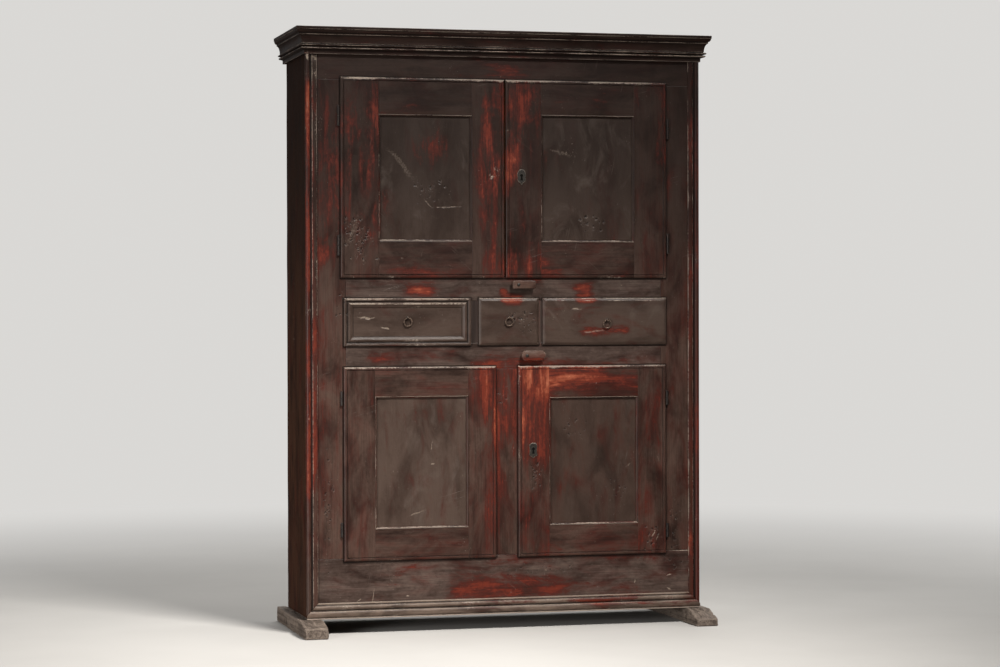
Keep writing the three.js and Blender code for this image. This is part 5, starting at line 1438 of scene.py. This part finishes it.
def make_round_button(node, body, low, high, back):
    """A block with round ends, drawn in a little towards its front."""
    radius, middle = (high.z - low.z) / 2, (low.z + high.z) / 2
    outline = np.array(arc(high.x - radius, middle, radius, radius, -90, 90, 24)
                       + arc(low.x + radius, middle, radius, radius, 90, 270, 24))
    outward = outline - outline.mean(axis=0)
    outward /= np.linalg.norm(outward, axis=1, keepdims=True)
    layers = [(back, 0, 0.4), (low.y + 0.0032, 0, 0.4), (low.y + 0.0012, 0.0010, 1), (low.y, 0.0034, 0.4)]
    rings = [[(u, y, v) for u, v in outline - outward * drawn_in] for y, drawn_in, _ in layers]
    arris = np.repeat([worn for _, _, worn in layers], len(outline))
    add_piece("turn_block_lower", *skin(rings), "button_paint", body, "x", arris, replaces=[node])


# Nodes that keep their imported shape

def dress_kept_nodes():
    kept = {
        "x": ["bottom_board", "drawer_floor", "upper_floor", "upper_shelf", "top_board"],
        "y": [f"drawer_{side}_box" for side in DRAWERS],
        "z": ["back_board_left", "back_board_right"],
    }
    for axis, nodes in kept.items():
        keep(nodes, raw_wood(f"raw_board_{axis}", RAW_LIGHT, RAW_DARK, axis))
    keep(["drawer_partition_left", "drawer_partition_right"], post_paint())
    keep([f"lock_{part}_{level}" for part in ("case", "bolt") for level in LEVELS], MATERIALS["iron"])


def keep(nodes, material):
    for node in nodes:
        piece = frame["nodes"][node]
        piece.data.materials.clear()
        piece.data.materials.append(material)
        bevel = piece.modifiers.new("softened_edges", "BEVEL")
        bevel.width = RIM_SOFTENING
        bevel.segments = 2
        bevel.limit_method = "ANGLE"


# Studio

def make_camera():
    """Turned by its yaw, then by its pitch from level, then by its roll round the view."""
    yaw, pitch, roll = (math.radians(v) for v in CAMERA_TURN)
    camera = add_object("camera", bpy.data.cameras.new("camera"))
    camera.data.lens = LENS
    turn = Matrix.Rotation(yaw, 4, "Z") @ Matrix.Rotation(math.pi / 2 + pitch, 4, "X")
    camera.matrix_world = Matrix.Translation(CAMERA_PLACE) @ turn @ Matrix.Rotation(roll, 4, "Z")
    bpy.context.scene.camera = camera


def make_stage():
    """A plain floor, wide enough for every view."""
    lines = [FLOOR_REACH * i / 8 for i in range(-8, 9)]
    count = len(lines)
    mesh = bpy.data.meshes.new("studio_floor")
    mesh.from_pydata([(x, y, 0.0) for x in lines for y in lines], [],
                     [(i * count + j, (i + 1) * count + j, (i + 1) * count + j + 1, i * count + j + 1)
                      for i in range(count - 1) for j in range(count - 1)])
    mesh.materials.append(studio_floor_paint())
    add_object("studio_floor", mesh)


def make_lights():
    """Softboxes: the key stands high on the right and reaches the lower half most, as in the
    photo. The others soften the left, the back, the right and the top."""
    for name, place, target, size, power, colour, spread in LAMPS:
        data = bpy.data.lights.new(name, "AREA")
        data.shape = "RECTANGLE"
        data.size, data.size_y = size
        data.energy = power
        data.color = colour
        data.spread = math.radians(spread)
        light = add_object(name, data)
        light.location = place
        light.rotation_euler = (Vector(target) - Vector(place)).to_track_quat("-Z", "Y").to_euler()


def make_world():
    """A dim surround for the light and a plain pale one for the camera."""
    world = bpy.data.worlds.new("studio")
    bpy.context.scene.world = world
    world.use_nodes = True
    tree = world.node_tree
    surround, backdrop = tree.nodes["Background"], tree.nodes.new("ShaderNodeBackground")
    surround.inputs["Strength"].default_value = SURROUND_STRENGTH
    for shader, colour in ((surround, SURROUND_COLOUR), (backdrop, BACKGROUND_COLOUR)):
        shader.inputs["Color"].default_value = (*colour, 1)
    chosen = tree.nodes.new("ShaderNodeMixShader")
    seen = tree.nodes.new("ShaderNodeLightPath").outputs["Is Camera Ray"]
    for source, socket in zip((seen, surround.outputs[0], backdrop.outputs[0]), chosen.inputs):
        tree.links.new(source, socket)
    tree.links.new(chosen.outputs[0], tree.nodes["World Output"].inputs["Surface"])


bpy.context.scene.view_settings.view_transform = "Standard"
make_camera()
make_feet()
make_sides()
make_face_frame()
make_cornice()
make_corner_mouldings()
make_base_moulding()
for door in DOORS:
    make_door(door)
    for end in ("top", "bottom"):
        make_hinge(f"{door.replace('door', 'hinge')}_{end}")
for side in DRAWERS:
    make_drawer(side)
    make_pull(side)
for level in LEVELS:
    make_escutcheon(level)
    make_button(level)
nail("door_nail", *DOOR_NAIL_PLACE, DOOR_FRONT, "door_upper_left", DOOR_NAIL_RADIUS, "pale_nail")
dress_kept_nodes()
make_stage()
make_world()
make_lights()
